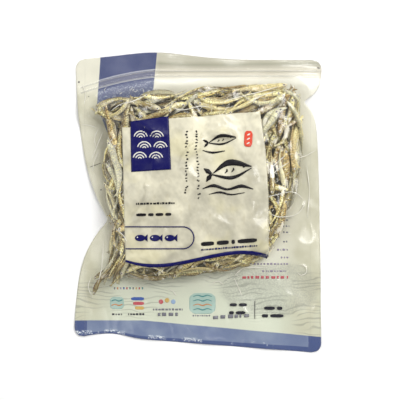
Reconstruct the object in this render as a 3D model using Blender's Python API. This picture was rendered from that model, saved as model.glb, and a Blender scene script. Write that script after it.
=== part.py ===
"""A clear zip-top pouch of small dried anchovies, lying flat with its printed side up.

The film, the packed block of fish inside it and the fish that press up under the front
film are one closed solid. Metres, +Z up from the surface it lies on, +Y towards the zip.
"""

import math
import random

import bmesh
import bpy
import numpy as np

MM = 0.001

# Pouch outline
HALF_WIDTH = 100.3 * MM
TOP_EDGE = 115.5 * MM
TOP_CREST = (-35 * MM, 6 * MM, 41 * MM)  # centre, height and reach along X
BOTTOM_EDGE = -113.5 * MM
BOTTOM_SLOPE = -0.078
BOTTOM_CREST = (-68 * MM, 4.2 * MM, 15 * MM)
CORNER_RADIUS = 8 * MM
# Where the thick block draws the sides in: centre along Y, depth, reach above, reach below
LEFT_WAISTS = [(-13.7 * MM, 27.4 * MM, 44 * MM, 25 * MM)]
RIGHT_WAISTS = [(81.4 * MM, 9 * MM, 6 * MM, 7 * MM), (81.4 * MM, 5 * MM, 6 * MM, 90 * MM)]
WAIST_ROUNDING = 2.5 * MM

# Sealed margins and zip
SHEET = 0.8 * MM
SIDE_SEAL = 9 * MM
END_SEAL = 5 * MM
SEAL_STEP = 3 * MM
LOOSE_RISE = 0.9 * MM
MARGIN_WAVE = 1.1 * MM
WAVE_LENGTHS = (47 * MM, 61 * MM)
ZIP_LEVEL = 104.3 * MM
ZIP_SAG = 8.8 * MM
ZIP_SAG_START = -33 * MM
ZIP_SAG_LENGTH = 46 * MM
ZIP_RIBS = (-2.2 * MM, 2.2 * MM)
ZIP_RIB_HALF_WIDTH = 1.0 * MM
ZIP_RIB_HEIGHT = 1.4 * MM
ZIP_END_GAP = 9 * MM

# Packed block of fish
BLOCK_THICKNESS = 27 * MM
BLOCK_LEFT = -76 * MM
BLOCK_RIGHT = 83 * MM
BLOCK_TOP = 94 * MM
BLOCK_TOP_SLOPE = 0.05
BLOCK_BOTTOM = -65 * MM
BLOCK_BOTTOM_CURVE = 4.2
BLOCK_BOTTOM_CENTRE = -12 * MM
LEFT_TAPER = (40 * MM, 85 * MM, 9 * MM)  # start along Y, length downwards, amount
RIGHT_TAPER = (12 * MM, 62 * MM, 21 * MM)
SHOULDER_LUMP = (78 * MM, 10 * MM, 14 * MM)
BLOCK_REACH = 77 * MM
BLOCK_POWER = 8
SHOULDER = 21 * MM
EDGE_HEIGHT = 10 * MM
CROWN = 0.10
TENT_REACH = 5.5 * MM
TENT_REACH_BELOW = 5 * MM
BACK_LIFT = 3.2 * MM
BACK_LIFT_CENTRE = -5 * MM
BACK_LIFT_REACH = 10 * MM

# Folds of the film: two ends, height and half width
FOLDS = [
    ((-64 * MM, -47 * MM), (-83 * MM, -78 * MM), 6 * MM, 6 * MM),
    ((-74 * MM, -28 * MM), (-78 * MM, -72 * MM), 2.2 * MM, 3.5 * MM),
    ((84 * MM, 0 * MM), (93 * MM, -8 * MM), 2.2 * MM, 4 * MM),
]

# Label panel, which lies smoother than the clear film around it
LABEL_LOW = (-59 * MM, -46 * MM)
LABEL_HIGH = (53 * MM, 66 * MM)

# Fish under the film
FISH_SIDES = 6
FISH_RINGS = 8
FISH_LENGTHS = (33 * MM, 46 * MM)
FISH_STATIONS = (0.0, 0.05, 0.2, 0.42, 0.8, 0.9, 1.0)
FISH_HALF_DEPTHS = (0.012, 0.036, 0.056, 0.054, 0.022, 0.016, 0.04)
FISH_HALF_WIDTHS = (0.012, 0.03, 0.045, 0.042, 0.018, 0.013, 0.013)
FISH_RING_GAPS = (2.5 * MM, 7.5 * MM, 12.5 * MM, 17.5 * MM, 22.5 * MM, 28 * MM, 41 * MM, 56 * MM)
FISH_PITCH = 36 * MM
FISH_BEND = 0.16
FISH_TURN = 0.32
FISH_SINK = 0.3 * MM
LABEL_FISH_SINK = 0.9 * MM
LABEL_FISH_SHARE = 0.35
FISH_SEED = 11
RING_STEPS = 361
HEADING_STEP = 2 * MM

# Mesh of the film before the fish are fused on
COLUMNS = 64
MAIN_ROWS = 58
HEADER_ROWS = 3
ROUNDING_STEPS = 4
FILM_FACES_KEPT = 0.18

POUCH_COLOUR = (0.60, 0.56, 0.44, 1.0)
POUCH_ROUGHNESS = 0.28


def smooth_step(value):
    """A value eased from 0 to 1."""
    value = np.clip(value, 0.0, 1.0)
    return value * value * (3.0 - 2.0 * value)


def crest(along, shape):
    """A round rise, given by its centre, height and reach."""
    centre, height, reach = shape
    return height * np.exp(-(((along - centre) / reach) ** 2))


def drawn_in(y, waists):
    """How far a side of the pouch is pulled in at y."""
    total = 0.0
    for centre, depth, above, below in waists:
        reach = np.where(y > centre, above, below)
        away = np.hypot(y - centre, WAIST_ROUNDING) - WAIST_ROUNDING
        total = total + depth * np.exp(-away / reach)
    return total


def left_edge(y):
    """X of the pouch's left side."""
    return -HALF_WIDTH + drawn_in(y, LEFT_WAISTS)


def right_edge(y):
    """X of the pouch's right side."""
    return HALF_WIDTH - drawn_in(y, RIGHT_WAISTS)


def top_edge(x):
    """Y of the pouch's upper end."""
    return TOP_EDGE + crest(x, TOP_CREST)


def bottom_edge(x):
    """Y of the pouch's lower end."""
    return BOTTOM_EDGE + BOTTOM_SLOPE * x + crest(x, BOTTOM_CREST)


def zip_line(x):
    """Y of the zip, which sags towards the left."""
    sagging = np.clip((ZIP_SAG_START - x) / ZIP_SAG_LENGTH, 0.0, None)
    return ZIP_LEVEL - ZIP_SAG * sagging**1.5


def block_sides(y):
    """X of the block's two sides."""
    left = BLOCK_LEFT + LEFT_TAPER[2] * smooth_step((LEFT_TAPER[0] - y) / LEFT_TAPER[1])
    right = BLOCK_RIGHT - RIGHT_TAPER[2] * smooth_step((RIGHT_TAPER[0] - y) / RIGHT_TAPER[1])
    return left - crest(y, SHOULDER_LUMP), right


def block_ends(x):
    """Y of the block's lower and upper ends."""
    lower = BLOCK_BOTTOM + BLOCK_BOTTOM_CURVE * (x - BLOCK_BOTTOM_CENTRE) ** 2
    return lower, BLOCK_TOP + BLOCK_TOP_SLOPE * x


def block_place(across, along):
    """X and Y of a place in the block, given from -1 to 1 each way."""
    x = across * BLOCK_RIGHT
    y = along * BLOCK_TOP
    for _ in range(12):
        left, right = block_sides(y)
        x = (left + right) / 2 + across * (right - left) / 2
        lower, upper = block_ends(x)
        y = (lower + upper) / 2 + along * (upper - lower) / 2
    return x, y


def block_level(x, y):
    """0 at the block's middle and 1 at its rounded rim."""
    left, right = block_sides(y)
    lower, upper = block_ends(np.clip(x, BLOCK_LEFT, BLOCK_RIGHT))
    across = np.abs((2 * x - left - right) / (right - left))
    along = np.abs((2 * y - lower - upper) / (upper - lower))
    return (across**BLOCK_POWER + along**BLOCK_POWER) ** (1 / BLOCK_POWER)


def fold_height(x, y):
    """Height that the film's folds add."""
    total = 0.0
    for (ax, ay), (bx, by), height, half_width in FOLDS:
        span = (bx - ax) ** 2 + (by - ay) ** 2
        share = np.clip(((x - ax) * (bx - ax) + (y - ay) * (by - ay)) / span, 0.0, 1.0)
        away = np.hypot(x - ax - share * (bx - ax), y - ay - share * (by - ay))
        total = total + height * np.exp(-((away / half_width) ** 2))
    return total


def zip_rib_height(x, y):
    """Height of the zip's two ribs, which stop short of the side seals."""
    inside = np.minimum(x - left_edge(y), right_edge(y) - x)
    ends = smooth_step((inside - ZIP_END_GAP) / ZIP_END_GAP)
    total = 0.0
    for offset in ZIP_RIBS:
        away = np.abs(y - zip_line(x) - offset)
        total = total + np.clip(1 - away / ZIP_RIB_HALF_WIDTH, 0.0, 1.0)
    return ZIP_RIB_HEIGHT * ends * total


def film_heights(x, y):
    """Z of the back film and of the front film at x, y."""
    gap = (1 - block_level(x, y)) * BLOCK_REACH
    rise = np.clip(gap / SHOULDER, 0.0, 1.0)
    shoulder = np.sqrt(1 - (1 - rise) ** 2)
    crown = 1 - CROWN * np.clip(1 - gap / BLOCK_REACH, 0.0, 1.0) ** 2
    inside = EDGE_HEIGHT + (BLOCK_THICKNESS * crown - EDGE_HEIGHT) * shoulder
    reach = TENT_REACH + TENT_REACH_BELOW * smooth_step(-y / abs(BLOCK_BOTTOM))
    outside = EDGE_HEIGHT * np.exp(np.minimum(gap, 0.0) / reach)
    margin = smooth_step(-gap / SHOULDER)
    phase = 2 * math.pi * (x / WAVE_LENGTHS[0] + y / WAVE_LENGTHS[1])
    wave = MARGIN_WAVE * margin * (1 + np.sin(phase)) / 2
    lift = BACK_LIFT * np.exp(-(((gap - BACK_LIFT_CENTRE) / BACK_LIFT_REACH) ** 2))
    back = wave + np.where(gap < SHOULDER / 2, lift, 0.0)
    raised = np.where(gap > 0, inside, outside) + fold_height(x, y) + zip_rib_height(x, y)
    raised = raised + loose_rise(x, y)
    return back, np.maximum(raised, back) + SHEET


def loose_rise(x, y):
    """How far the front film stands clear of the back film between the seals."""
    side = np.minimum(x - left_edge(y), right_edge(y) - x) - SIDE_SEAL
    end = np.minimum(y - bottom_edge(x), top_edge(x) - y) - END_SEAL
    return LOOSE_RISE * smooth_step(np.minimum(side, end) / SEAL_STEP)


def corner_inset(away):
    """How far a rounded corner steps in, at this distance from the pouch's end."""
    short = np.clip(CORNER_RADIUS - away, 0.0, CORNER_RADIUS)
    return CORNER_RADIUS - np.sqrt(CORNER_RADIUS**2 - short**2)


def row_curves():
    """The rows of the film's mesh, from the lower end to the upper end, as functions of x."""
    turns = [math.pi / 2 * step / ROUNDING_STEPS for step in range(ROUNDING_STEPS + 1)]
    corner = [CORNER_RADIUS * (1 - math.cos(turn)) for turn in turns]
    rib = ZIP_RIB_HALF_WIDTH
    near_zip = sorted(offset + step for offset in ZIP_RIBS for step in (-rib, 0, rib))
    rows = [lambda x, a=a: bottom_edge(x) + a for a in corner]
    for step in range(1, MAIN_ROWS):
        share = step / MAIN_ROWS
        rows.append(
            lambda x, share=share: (bottom_edge(x) + CORNER_RADIUS) * (1 - share)
            + (zip_line(x) + near_zip[0]) * share
        )
    rows += [lambda x, a=a: zip_line(x) + a for a in near_zip]
    for step in range(1, HEADER_ROWS):
        share = step / HEADER_ROWS
        rows.append(
            lambda x, share=share: (zip_line(x) + near_zip[-1]) * (1 - share)
            + (top_edge(x) - CORNER_RADIUS) * share
        )
    return rows + [lambda x, a=a: top_edge(x) - a for a in reversed(corner)]


def row_place(row, share):
    """X and Y of a place on a row, from 0 at its left end to 1 at its right end."""
    ends = []
    for side, edge in ((-1, left_edge), (1, right_edge)):
        x = side * HALF_WIDTH
        for _ in range(3):
            y = row(x)
            nearest = np.minimum(y - bottom_edge(x), top_edge(x) - y)
            x = edge(y) - side * corner_inset(nearest)
        ends.append(x)
    x = ends[0] * (1 - share) + ends[1] * share
    return x, row(x)


def film_mesh():
    """The pouch without its fish: a grid for the back film, drawn up into the front film."""
    rows = row_curves()
    bm = bmesh.new()
    bmesh.ops.create_grid(bm, x_segments=COLUMNS, y_segments=len(rows) - 1, size=0.5)
    for vert in bm.verts:
        row = rows[round((vert.co.y + 0.5) * (len(rows) - 1))]
        vert.co.x, vert.co.y = row_place(row, vert.co.x + 0.5)
    drawn = bmesh.ops.extrude_face_region(bm, geom=bm.faces[:])
    front = {item for item in drawn["geom"] if isinstance(item, bmesh.types.BMVert)}
    for vert in bm.verts:
        back_z, front_z = film_heights(vert.co.x, vert.co.y)
        vert.co.z = front_z if vert in front else back_z
    bmesh.ops.recalc_face_normals(bm, faces=bm.faces[:])
    mesh = bpy.data.meshes.new("pouch")
    bm.to_mesh(mesh)
    bm.free()
    return mesh


def fish_mesh(x, y, heading, length, bend, sink):
    """One anchovy: a sphere drawn out along a bent spine that follows the front film."""
    bm = bmesh.new()
    bmesh.ops.create_uvsphere(bm, u_segments=FISH_SIDES, v_segments=FISH_RINGS, radius=1.0)
    ahead = (math.cos(heading), math.sin(heading))
    for vert in bm.verts:
        along = (1 + vert.co.z) / 2
        ring = math.hypot(vert.co.x, vert.co.y) or 1.0
        half_depth = np.interp(along, FISH_STATIONS, FISH_HALF_DEPTHS) * length
        half_width = np.interp(along, FISH_STATIONS, FISH_HALF_WIDTHS) * length
        forward = (along - 0.5) * length
        curve = bend * ((2 * along - 1) ** 2 - 1 / 3) * length
        spine_x = x + ahead[0] * forward - ahead[1] * curve
        spine_y = y + ahead[1] * forward + ahead[0] * curve
        level = film_heights(spine_x, spine_y)[1] - sink
        sideways = vert.co.x / ring * half_depth
        vert.co.z = level + vert.co.y / ring * half_width
        vert.co.x = spine_x - ahead[1] * sideways
        vert.co.y = spine_y + ahead[0] * sideways
    mesh = bpy.data.meshes.new("fish")
    bm.to_mesh(mesh)
    bm.free()
    return mesh


def block_ring(level):
    """Places round the block's middle at this level, and how far round each of them is."""
    turns = np.linspace(0, 2 * math.pi, RING_STEPS)
    cosines, sines = np.cos(turns), np.sin(turns)
    across = np.sign(cosines) * np.abs(cosines) ** (2 / BLOCK_POWER)
    along = np.sign(sines) * np.abs(sines) ** (2 / BLOCK_POWER)
    x, y = block_place(across * level, along * level)
    steps = np.hypot(np.diff(x), np.diff(y))
    return x, y, np.concatenate(([0.0], np.cumsum(steps)))


def fish_layout():
    """Place, heading, length, bend and sink of each fish, in rings along the block's rim."""
    draw = random.Random(FISH_SEED)
    layout = []
    for gap in FISH_RING_GAPS:
        ring_x, ring_y, travelled = block_ring(1 - gap / BLOCK_REACH)
        count = round(travelled[-1] / FISH_PITCH)
        first = draw.uniform(0, 1)
        for number in range(count):
            at = (number + first + draw.uniform(-0.25, 0.25)) / count * travelled[-1]
            ends = [at % travelled[-1], (at + HEADING_STEP) % travelled[-1]]
            x, ahead_x = np.interp(ends, travelled, ring_x)
            y, ahead_y = np.interp(ends, travelled, ring_y)
            heading = math.atan2(ahead_y - y, ahead_x - x) + math.pi * draw.randrange(2)
            heading += draw.gauss(0, FISH_TURN)
            length = draw.uniform(*FISH_LENGTHS)
            bend = draw.uniform(-FISH_BEND, FISH_BEND)
            in_label_x = LABEL_LOW[0] < x < LABEL_HIGH[0]
            in_label = in_label_x and LABEL_LOW[1] < y < LABEL_HIGH[1]
            if in_label and draw.random() > LABEL_FISH_SHARE:
                continue
            sink = LABEL_FISH_SINK if in_label else FISH_SINK
            layout.append((x, y, heading, length, bend, sink))
    return layout


def pouch_material():
    """One colour for the film and the fish under it."""
    material = bpy.data.materials.new("pouch")
    material.use_nodes = True
    shader = material.node_tree.nodes["Principled BSDF"]
    shader.inputs["Base Color"].default_value = POUCH_COLOUR
    shader.inputs["Roughness"].default_value = POUCH_ROUGHNESS
    return material


def apply_modifiers(thing):
    """Replaces an object's mesh with its evaluated mesh."""
    view = bpy.context.evaluated_depsgraph_get()
    mesh = bpy.data.meshes.new_from_object(thing.evaluated_get(view))
    thing.modifiers.clear()
    thing.data = mesh


def centre_on_origin(mesh):
    """Moves a mesh so that the origin is below its middle, on the surface it lies on."""
    places = np.array([vert.co for vert in mesh.vertices])
    low, high = places.min(axis=0), places.max(axis=0)
    middle = (low + high) / 2
    for vert in mesh.vertices:
        vert.co.x -= middle[0]
        vert.co.y -= middle[1]
        vert.co.z -= low[2]


def make_pouch():
    """The film body with the fish fused on, as one closed solid."""
    home = bpy.data.collections.new("anchovy_pouch")
    bpy.context.scene.collection.children.link(home)
    fused = bpy.data.collections.new("fused_fish")
    bpy.context.scene.collection.children.link(fused)
    pouch = bpy.data.objects.new("pouch", film_mesh())
    home.objects.link(pouch)
    thinned = pouch.modifiers.new("fewer_faces", "DECIMATE")
    thinned.ratio = FILM_FACES_KEPT
    apply_modifiers(pouch)
    for number, spec in enumerate(fish_layout()):
        fish = bpy.data.objects.new(f"fish_{number}", fish_mesh(*spec))
        fused.objects.link(fish)
    union = pouch.modifiers.new("fish", "BOOLEAN")
    union.operation = "UNION"
    union.solver = "MANIFOLD"
    union.operand_type = "COLLECTION"
    union.collection = fused
    apply_modifiers(pouch)
    for fish in list(fused.objects):
        bpy.data.objects.remove(fish)
    bpy.data.collections.remove(fused)
    centre_on_origin(pouch.data)
    pouch.data.materials.clear()
    pouch.data.materials.append(pouch_material())
    pouch.data.shade_smooth()
    pouch.data.set_sharp_from_angle(angle=math.radians(50))


for thing in list(bpy.data.objects):
    bpy.data.objects.remove(thing)
make_pouch()
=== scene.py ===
"""A clear zip-top pouch of small dried anchovies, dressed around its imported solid.

Each group of pieces has one operator, and the sidebar panel lists them in order. Metres,
+Z up, +Y towards the zip. Shapes are worked out in the pouch's drawing frame, whose
origin is near the printed panel's middle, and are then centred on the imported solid.
"""

import functools
import math

import bmesh
import bpy
import numpy as np
from bpy.props import FloatProperty, FloatVectorProperty, IntProperty, PointerProperty
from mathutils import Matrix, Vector


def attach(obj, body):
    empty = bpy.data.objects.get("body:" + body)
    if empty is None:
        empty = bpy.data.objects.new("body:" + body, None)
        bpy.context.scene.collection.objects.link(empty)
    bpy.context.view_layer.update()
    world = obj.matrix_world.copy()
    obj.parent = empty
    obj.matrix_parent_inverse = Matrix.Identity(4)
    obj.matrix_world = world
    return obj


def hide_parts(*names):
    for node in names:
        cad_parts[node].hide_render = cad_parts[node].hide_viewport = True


bl_info = {
    "name": "Anchovy pouch",
    "version": (1, 0, 0),
    "blender": (4, 5, 0),
    "location": "3D view, sidebar, Pouch tab",
    "description": "Builds a clear zip pouch packed with dried anchovies",
    "category": "Object",
}

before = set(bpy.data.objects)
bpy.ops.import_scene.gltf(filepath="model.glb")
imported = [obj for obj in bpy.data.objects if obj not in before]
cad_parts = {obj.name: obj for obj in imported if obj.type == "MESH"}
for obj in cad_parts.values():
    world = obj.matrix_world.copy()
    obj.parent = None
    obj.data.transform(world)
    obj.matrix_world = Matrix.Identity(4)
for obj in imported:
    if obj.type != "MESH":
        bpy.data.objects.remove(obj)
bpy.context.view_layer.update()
NODE = "pouch"
MM = 0.001

# Pouch outline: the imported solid's, with a lower crest and corner at its lower left
HALF_WIDTH = 100.3 * MM
TOP_EDGE = 115.5 * MM
TOP_CREST = (-35 * MM, 6 * MM, 41 * MM)  # centre, height and reach along X
BOTTOM_EDGE = -113.5 * MM
BOTTOM_SLOPE = -0.078
BOTTOM_CREST = (-68 * MM, 2.6 * MM, 15 * MM)
BOTTOM_CORNER = (-97 * MM, -2.2 * MM, 8 * MM)
CORNER_RADIUS = 8 * MM
# Places where a side is drawn in: centre along Y, depth, reach above it and reach below it
LEFT_WAISTS = [(-13.7 * MM, 27.4 * MM, 44 * MM, 25 * MM)]
RIGHT_WAISTS = [(81.4 * MM, 9 * MM, 6 * MM, 7 * MM), (81.4 * MM, 5 * MM, 6 * MM, 90 * MM)]
WAIST_ROUNDING = 2.5 * MM
MARGIN_WAVE = 1.1 * MM
WAVE_LENGTHS = (47 * MM, 61 * MM)
SIDE_SEAL = 9 * MM
END_SEAL = 4 * MM
EDGE_ROUNDS = 3  # rounds in which a place on the film settles beside the curved sides

# Zip
ZIP_LEVEL = 104.3 * MM
ZIP_SAG = 8.8 * MM
ZIP_SAG_START = -33 * MM
ZIP_SAG_LENGTH = 46 * MM
ZIP_TRACKS = (-2.2 * MM, 2.2 * MM)

# Packed block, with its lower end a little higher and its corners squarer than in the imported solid
BLOCK_LEFT = -76 * MM
BLOCK_RIGHT = 83 * MM
BLOCK_TOP = 91.5 * MM
BLOCK_TOP_SLOPE = 0.08
BLOCK_BOTTOM = -61.5 * MM
BLOCK_BOTTOM_CURVE = 1.9
BLOCK_BOTTOM_CENTRE = -38 * MM
LEFT_TAPER = (40 * MM, 85 * MM, 9 * MM)  # start along Y, length downwards, amount
RIGHT_TAPER = (40 * MM, 95 * MM, 22 * MM)
SHOULDER_LUMP = (73 * MM, 12 * MM, 9 * MM)  # centre along Y, amount and reach, on the left side
LEFT_NOTCH = (56 * MM, -5 * MM, 9 * MM)
BLOCK_REACH = 77 * MM
BLOCK_POWER = 12
BLOCK_ROUNDS = 12
SHOULDER = 21 * MM
EDGE_HEIGHT = 10 * MM
CROWN = 0.10
TENT_REACH = 5.5 * MM
TENT_REACH_BELOW = 5 * MM
BACK_LIFT = 3.2 * MM
BACK_LIFT_CENTRE = -5 * MM
BACK_LIFT_REACH = 10 * MM

# Stage
CAMERA_LENS = 120.0
CAMERA_SENSOR = 36.0
VIEW_WIDTH = 322.4 * MM
VIEW_CENTRE = (1.93 * MM, 2.42 * MM)
VIEW_LEVEL = 3 * MM
CAMERA_DISTANCE = CAMERA_LENS / CAMERA_SENSOR * VIEW_WIDTH
CAMERA_NEAR = 0.05
FLOOR_SIZE = 4.0
FLOOR_DROP = 0.2 * MM
WORLD_LIGHT = 0.46
WORLD_COLOUR = (1.0, 0.995, 0.975, 1.0)
# Soft lights: name, place, size and watts
LIGHTS = [
    ("Key", (0.48, 0.40, 0.90), (0.55, 0.55), 7.4),
    ("Strip", (-0.10, 0.95, 0.75), (1.3, 0.16), 2.2),
    ("Fill", (-0.95, -0.25, 1.15), (1.2, 1.2), 5.4),
]

# Grids on which heights and films are worked out
GRID_STEP = 0.7 * MM
GRID_PAD = 4 * GRID_STEP
GRID_END_ROOM = 12 * MM
ROW_EVENNESS = 0.72
OUTLINE_POINTS = 400


def smooth_step(value):
    """A value eased from 0 to 1."""
    value = np.clip(value, 0.0, 1.0)
    return value * value * (3.0 - 2.0 * value)


def crest(along, shape):
    """A round rise, given by its centre, height and reach."""
    centre, height, reach = shape
    return height * np.exp(-(((along - centre) / reach) ** 2))


def drawn_in(y, waists):
    """How far a side of the pouch is pulled in at y."""
    total = 0.0
    for centre, depth, above, below in waists:
        reach = np.where(y > centre, above, below)
        away = np.hypot(y - centre, WAIST_ROUNDING) - WAIST_ROUNDING
        total = total + depth * np.exp(-away / reach)
    return total


def left_edge(y):
    """X of the pouch's left side."""
    return -HALF_WIDTH + drawn_in(y, LEFT_WAISTS)


def right_edge(y):
    """X of the pouch's right side."""
    return HALF_WIDTH - drawn_in(y, RIGHT_WAISTS)


def top_edge(x):
    """Y of the pouch's upper end."""
    return TOP_EDGE + crest(x, TOP_CREST)


def bottom_edge(x):
    """Y of the pouch's lower end."""
    return BOTTOM_EDGE + BOTTOM_SLOPE * x + crest(x, BOTTOM_CREST) + crest(x, BOTTOM_CORNER)


def zip_line(x):
    """Y of the zip, which sags towards the left."""
    sagging = np.clip((ZIP_SAG_START - x) / ZIP_SAG_LENGTH, 0.0, None)
    return ZIP_LEVEL - ZIP_SAG * sagging**1.5


def corner_inset(away):
    """How far a rounded corner steps in, at this distance from the pouch's end."""
    short = np.clip(CORNER_RADIUS - away, 0.0, CORNER_RADIUS)
    return CORNER_RADIUS - np.sqrt(CORNER_RADIUS**2 - short**2)


def film_place(across, along):
    """X and Y of a place on the film, given from 0 to 1 across and along the pouch."""
    eased = 0.5 - 0.5 * np.cos(np.pi * along)
    share = ROW_EVENNESS * along + (1 - ROW_EVENNESS) * eased
    ends = []
    for side, edge in ((-1, left_edge), (1, right_edge)):
        x = side * HALF_WIDTH * np.ones_like(along)
        for _ in range(EDGE_ROUNDS):
            y = bottom_edge(x) * (1 - share) + top_edge(x) * share
            nearest = np.minimum(y - bottom_edge(x), top_edge(x) - y)
            x = edge(y) - side * corner_inset(nearest)
        ends.append(x)
    x = ends[0] * (1 - across) + ends[1] * across
    return x, bottom_edge(x) * (1 - share) + top_edge(x) * share


def block_sides(y):
    """X of the block's two sides."""
    left = BLOCK_LEFT + LEFT_TAPER[2] * smooth_step((LEFT_TAPER[0] - y) / LEFT_TAPER[1])
    right = BLOCK_RIGHT - RIGHT_TAPER[2] * smooth_step((RIGHT_TAPER[0] - y) / RIGHT_TAPER[1])
    return left - crest(y, SHOULDER_LUMP) - crest(y, LEFT_NOTCH), right


def block_ends(x):
    """Y of the block's lower and upper ends."""
    lower = BLOCK_BOTTOM + BLOCK_BOTTOM_CURVE * (x - BLOCK_BOTTOM_CENTRE) ** 2
    return lower, BLOCK_TOP + BLOCK_TOP_SLOPE * x


def block_place(across, along):
    """X and Y of a place in the block, given from -1 to 1 each way."""
    x = across * BLOCK_RIGHT
    y = along * BLOCK_TOP
    for _ in range(BLOCK_ROUNDS):
        left, right = block_sides(y)
        x = (left + right) / 2 + across * (right - left) / 2
        lower, upper = block_ends(x)
        y = (lower + upper) / 2 + along * (upper - lower) / 2
    return x, y


def rim_gap(x, y):
    """How far a place lies inside the block's rim, negative outside it."""
    left, right = block_sides(y)
    lower, upper = block_ends(np.clip(x, BLOCK_LEFT, BLOCK_RIGHT))
    across = np.abs((2 * x - left - right) / (right - left))
    along = np.abs((2 * y - lower - upper) / (upper - lower))
    level = (across**BLOCK_POWER + along**BLOCK_POWER) ** (1 / BLOCK_POWER)
    return (1 - level) * BLOCK_REACH


def edge_gap(x, y):
    """How far a place lies inside the pouch's outline: from its sides and from its ends."""
    sides = np.minimum(x - left_edge(y), right_edge(y) - x)
    ends = np.minimum(y - bottom_edge(x), top_edge(x) - y)
    return sides, ends


FOLD_END_SHARE = 0.25  # a fold's height at its ends, as a share of its height
FOLD_ENDS = (0.08, 0.92)


def fold_height(x, y, folds):
    """Height that a list of folds adds, each given by two ends, height and half width."""
    total = 0.0
    for (ax, ay), (bx, by), height, half_width in folds:
        span = (bx - ax) ** 2 + (by - ay) ** 2
        share = np.clip(((x - ax) * (bx - ax) + (y - ay) * (by - ay)) / span, 0.0, 1.0)
        away = np.hypot(x - ax - share * (bx - ax), y - ay - share * (by - ay))
        fade = FOLD_END_SHARE + (1 - FOLD_END_SHARE) * np.sin(np.pi * np.clip(share, *FOLD_ENDS))
        total = total + height * fade * np.exp(-((away / half_width) ** 2))
    return total


def soft_noise(x, y, cell, seed):
    """Smooth noise from 0 to 1, with bumps about one cell across."""
    draw = np.random.default_rng(seed)
    size = int(4 * HALF_WIDTH / cell) + 4
    values = draw.random((size, size))
    column = (x + 2 * HALF_WIDTH) / cell
    row = (y + 2 * HALF_WIDTH) / cell
    left = np.clip(np.floor(column).astype(int), 0, size - 2)
    below = np.clip(np.floor(row).astype(int), 0, size - 2)
    right_share = smooth_step(column - left)
    up_share = smooth_step(row - below)
    low = values[below, left] * (1 - right_share) + values[below, left + 1] * right_share
    high = values[below + 1, left] * (1 - right_share) + values[below + 1, left + 1] * right_share
    return low * (1 - up_share) + high * up_share


def creases(x, y, cell, seed):
    """Sharp-crested noise from 0 to 1, as in crumpled film."""
    return 1 - np.abs(2 * soft_noise(x, y, cell, seed) - 1)


def back_height(x, y):
    """Z of the back film, flat under the block and wavy in the margins."""
    gap = rim_gap(x, y)
    margin = smooth_step(-gap / SHOULDER)
    phase = 2 * math.pi * (x / WAVE_LENGTHS[0] + y / WAVE_LENGTHS[1])
    lift = BACK_LIFT * np.exp(-(((gap - BACK_LIFT_CENTRE) / BACK_LIFT_REACH) ** 2))
    return MARGIN_WAVE * margin * (1 + np.sin(phase)) / 2 + np.where(gap < SHOULDER / 2, lift, 0.0)


def tent_height(x, y):
    """Z of the front film where no fish lifts it: over the block, and falling away around it."""
    sizes = bpy.context.scene.pouch_sizes
    gap = rim_gap(x, y)
    rise = np.clip(gap / SHOULDER, 0.0, 1.0)
    shoulder = np.sqrt(1 - (1 - rise) ** 2)
    crown = 1 - CROWN * np.clip(1 - gap / BLOCK_REACH, 0.0, 1.0) ** 2
    inside = EDGE_HEIGHT + (sizes.block_thickness * crown - EDGE_HEIGHT) * shoulder
    reach = TENT_REACH + TENT_REACH_BELOW * smooth_step(-y / abs(BLOCK_BOTTOM))
    outside = EDGE_HEIGHT * np.exp(np.minimum(gap, 0.0) / reach)
    return np.where(gap > 0, inside, outside)


class HeightGrid:
    """Heights on a square grid that covers the pouch."""

    def __init__(self):
        self.low_x = -HALF_WIDTH - GRID_PAD
        self.low_y = BOTTOM_EDGE - GRID_END_ROOM
        self.columns = int((2 * HALF_WIDTH + 2 * GRID_PAD) / GRID_STEP) + 1
        self.rows = int((TOP_EDGE + GRID_END_ROOM - self.low_y) / GRID_STEP) + 1
        across = self.low_x + GRID_STEP * np.arange(self.columns)
        along = self.low_y + GRID_STEP * np.arange(self.rows)
        self.x, self.y = np.meshgrid(across, along)
        self.z = np.zeros_like(self.x)

    def at(self, x, y, z=None):
        """Height at x, y, worked out between the four grid points around it."""
        z = self.z if z is None else z
        column = np.clip((x - self.low_x) / GRID_STEP, 0, self.columns - 1.001)
        row = np.clip((y - self.low_y) / GRID_STEP, 0, self.rows - 1.001)
        left = np.floor(column).astype(int)
        below = np.floor(row).astype(int)
        right_share = column - left
        up_share = row - below
        low = z[below, left] * (1 - right_share) + z[below, left + 1] * right_share
        high = z[below + 1, left] * (1 - right_share) + z[below + 1, left + 1] * right_share
        return low * (1 - up_share) + high * up_share


def slid(values, rows, columns):
    """A grid slid by whole steps, with its border repeated."""
    high, wide = values.shape
    row = np.clip(np.arange(high) + rows, 0, high - 1)
    column = np.clip(np.arange(wide) + columns, 0, wide - 1)
    return values[row[:, None], column[None, :]]


def bridged(values, reach, ball):
    """A skin that hangs over the heights, and sags between them no tighter than the ball."""
    steps = int(reach / GRID_STEP)
    offsets = [
        (row, column, (row * row + column * column) * GRID_STEP**2 / (2 * ball))
        for row in range(-steps, steps + 1)
        for column in range(-steps, steps + 1)
        if row * row + column * column <= steps * steps
    ]
    raised = values.copy()
    for row, column, drop in offsets:
        raised = np.maximum(raised, slid(values, row, column) - drop)
    settled = raised.copy()
    for row, column, drop in offsets:
        settled = np.minimum(settled, slid(raised, row, column) + drop)
    return settled


def softened(values, reach):
    """Heights blurred over this reach, first along and then across."""
    steps = max(1, round(3 * reach / GRID_STEP))
    spread = np.exp(-0.5 * (np.arange(-steps, steps + 1) * GRID_STEP / reach) ** 2)
    spread = spread / spread.sum()
    for turn in (0, 1):
        values = sum(
            weight * slid(values, *((step, 0) if turn == 0 else (0, step)))
            for step, weight in zip(range(-steps, steps + 1), spread)
        )
    return values


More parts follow.
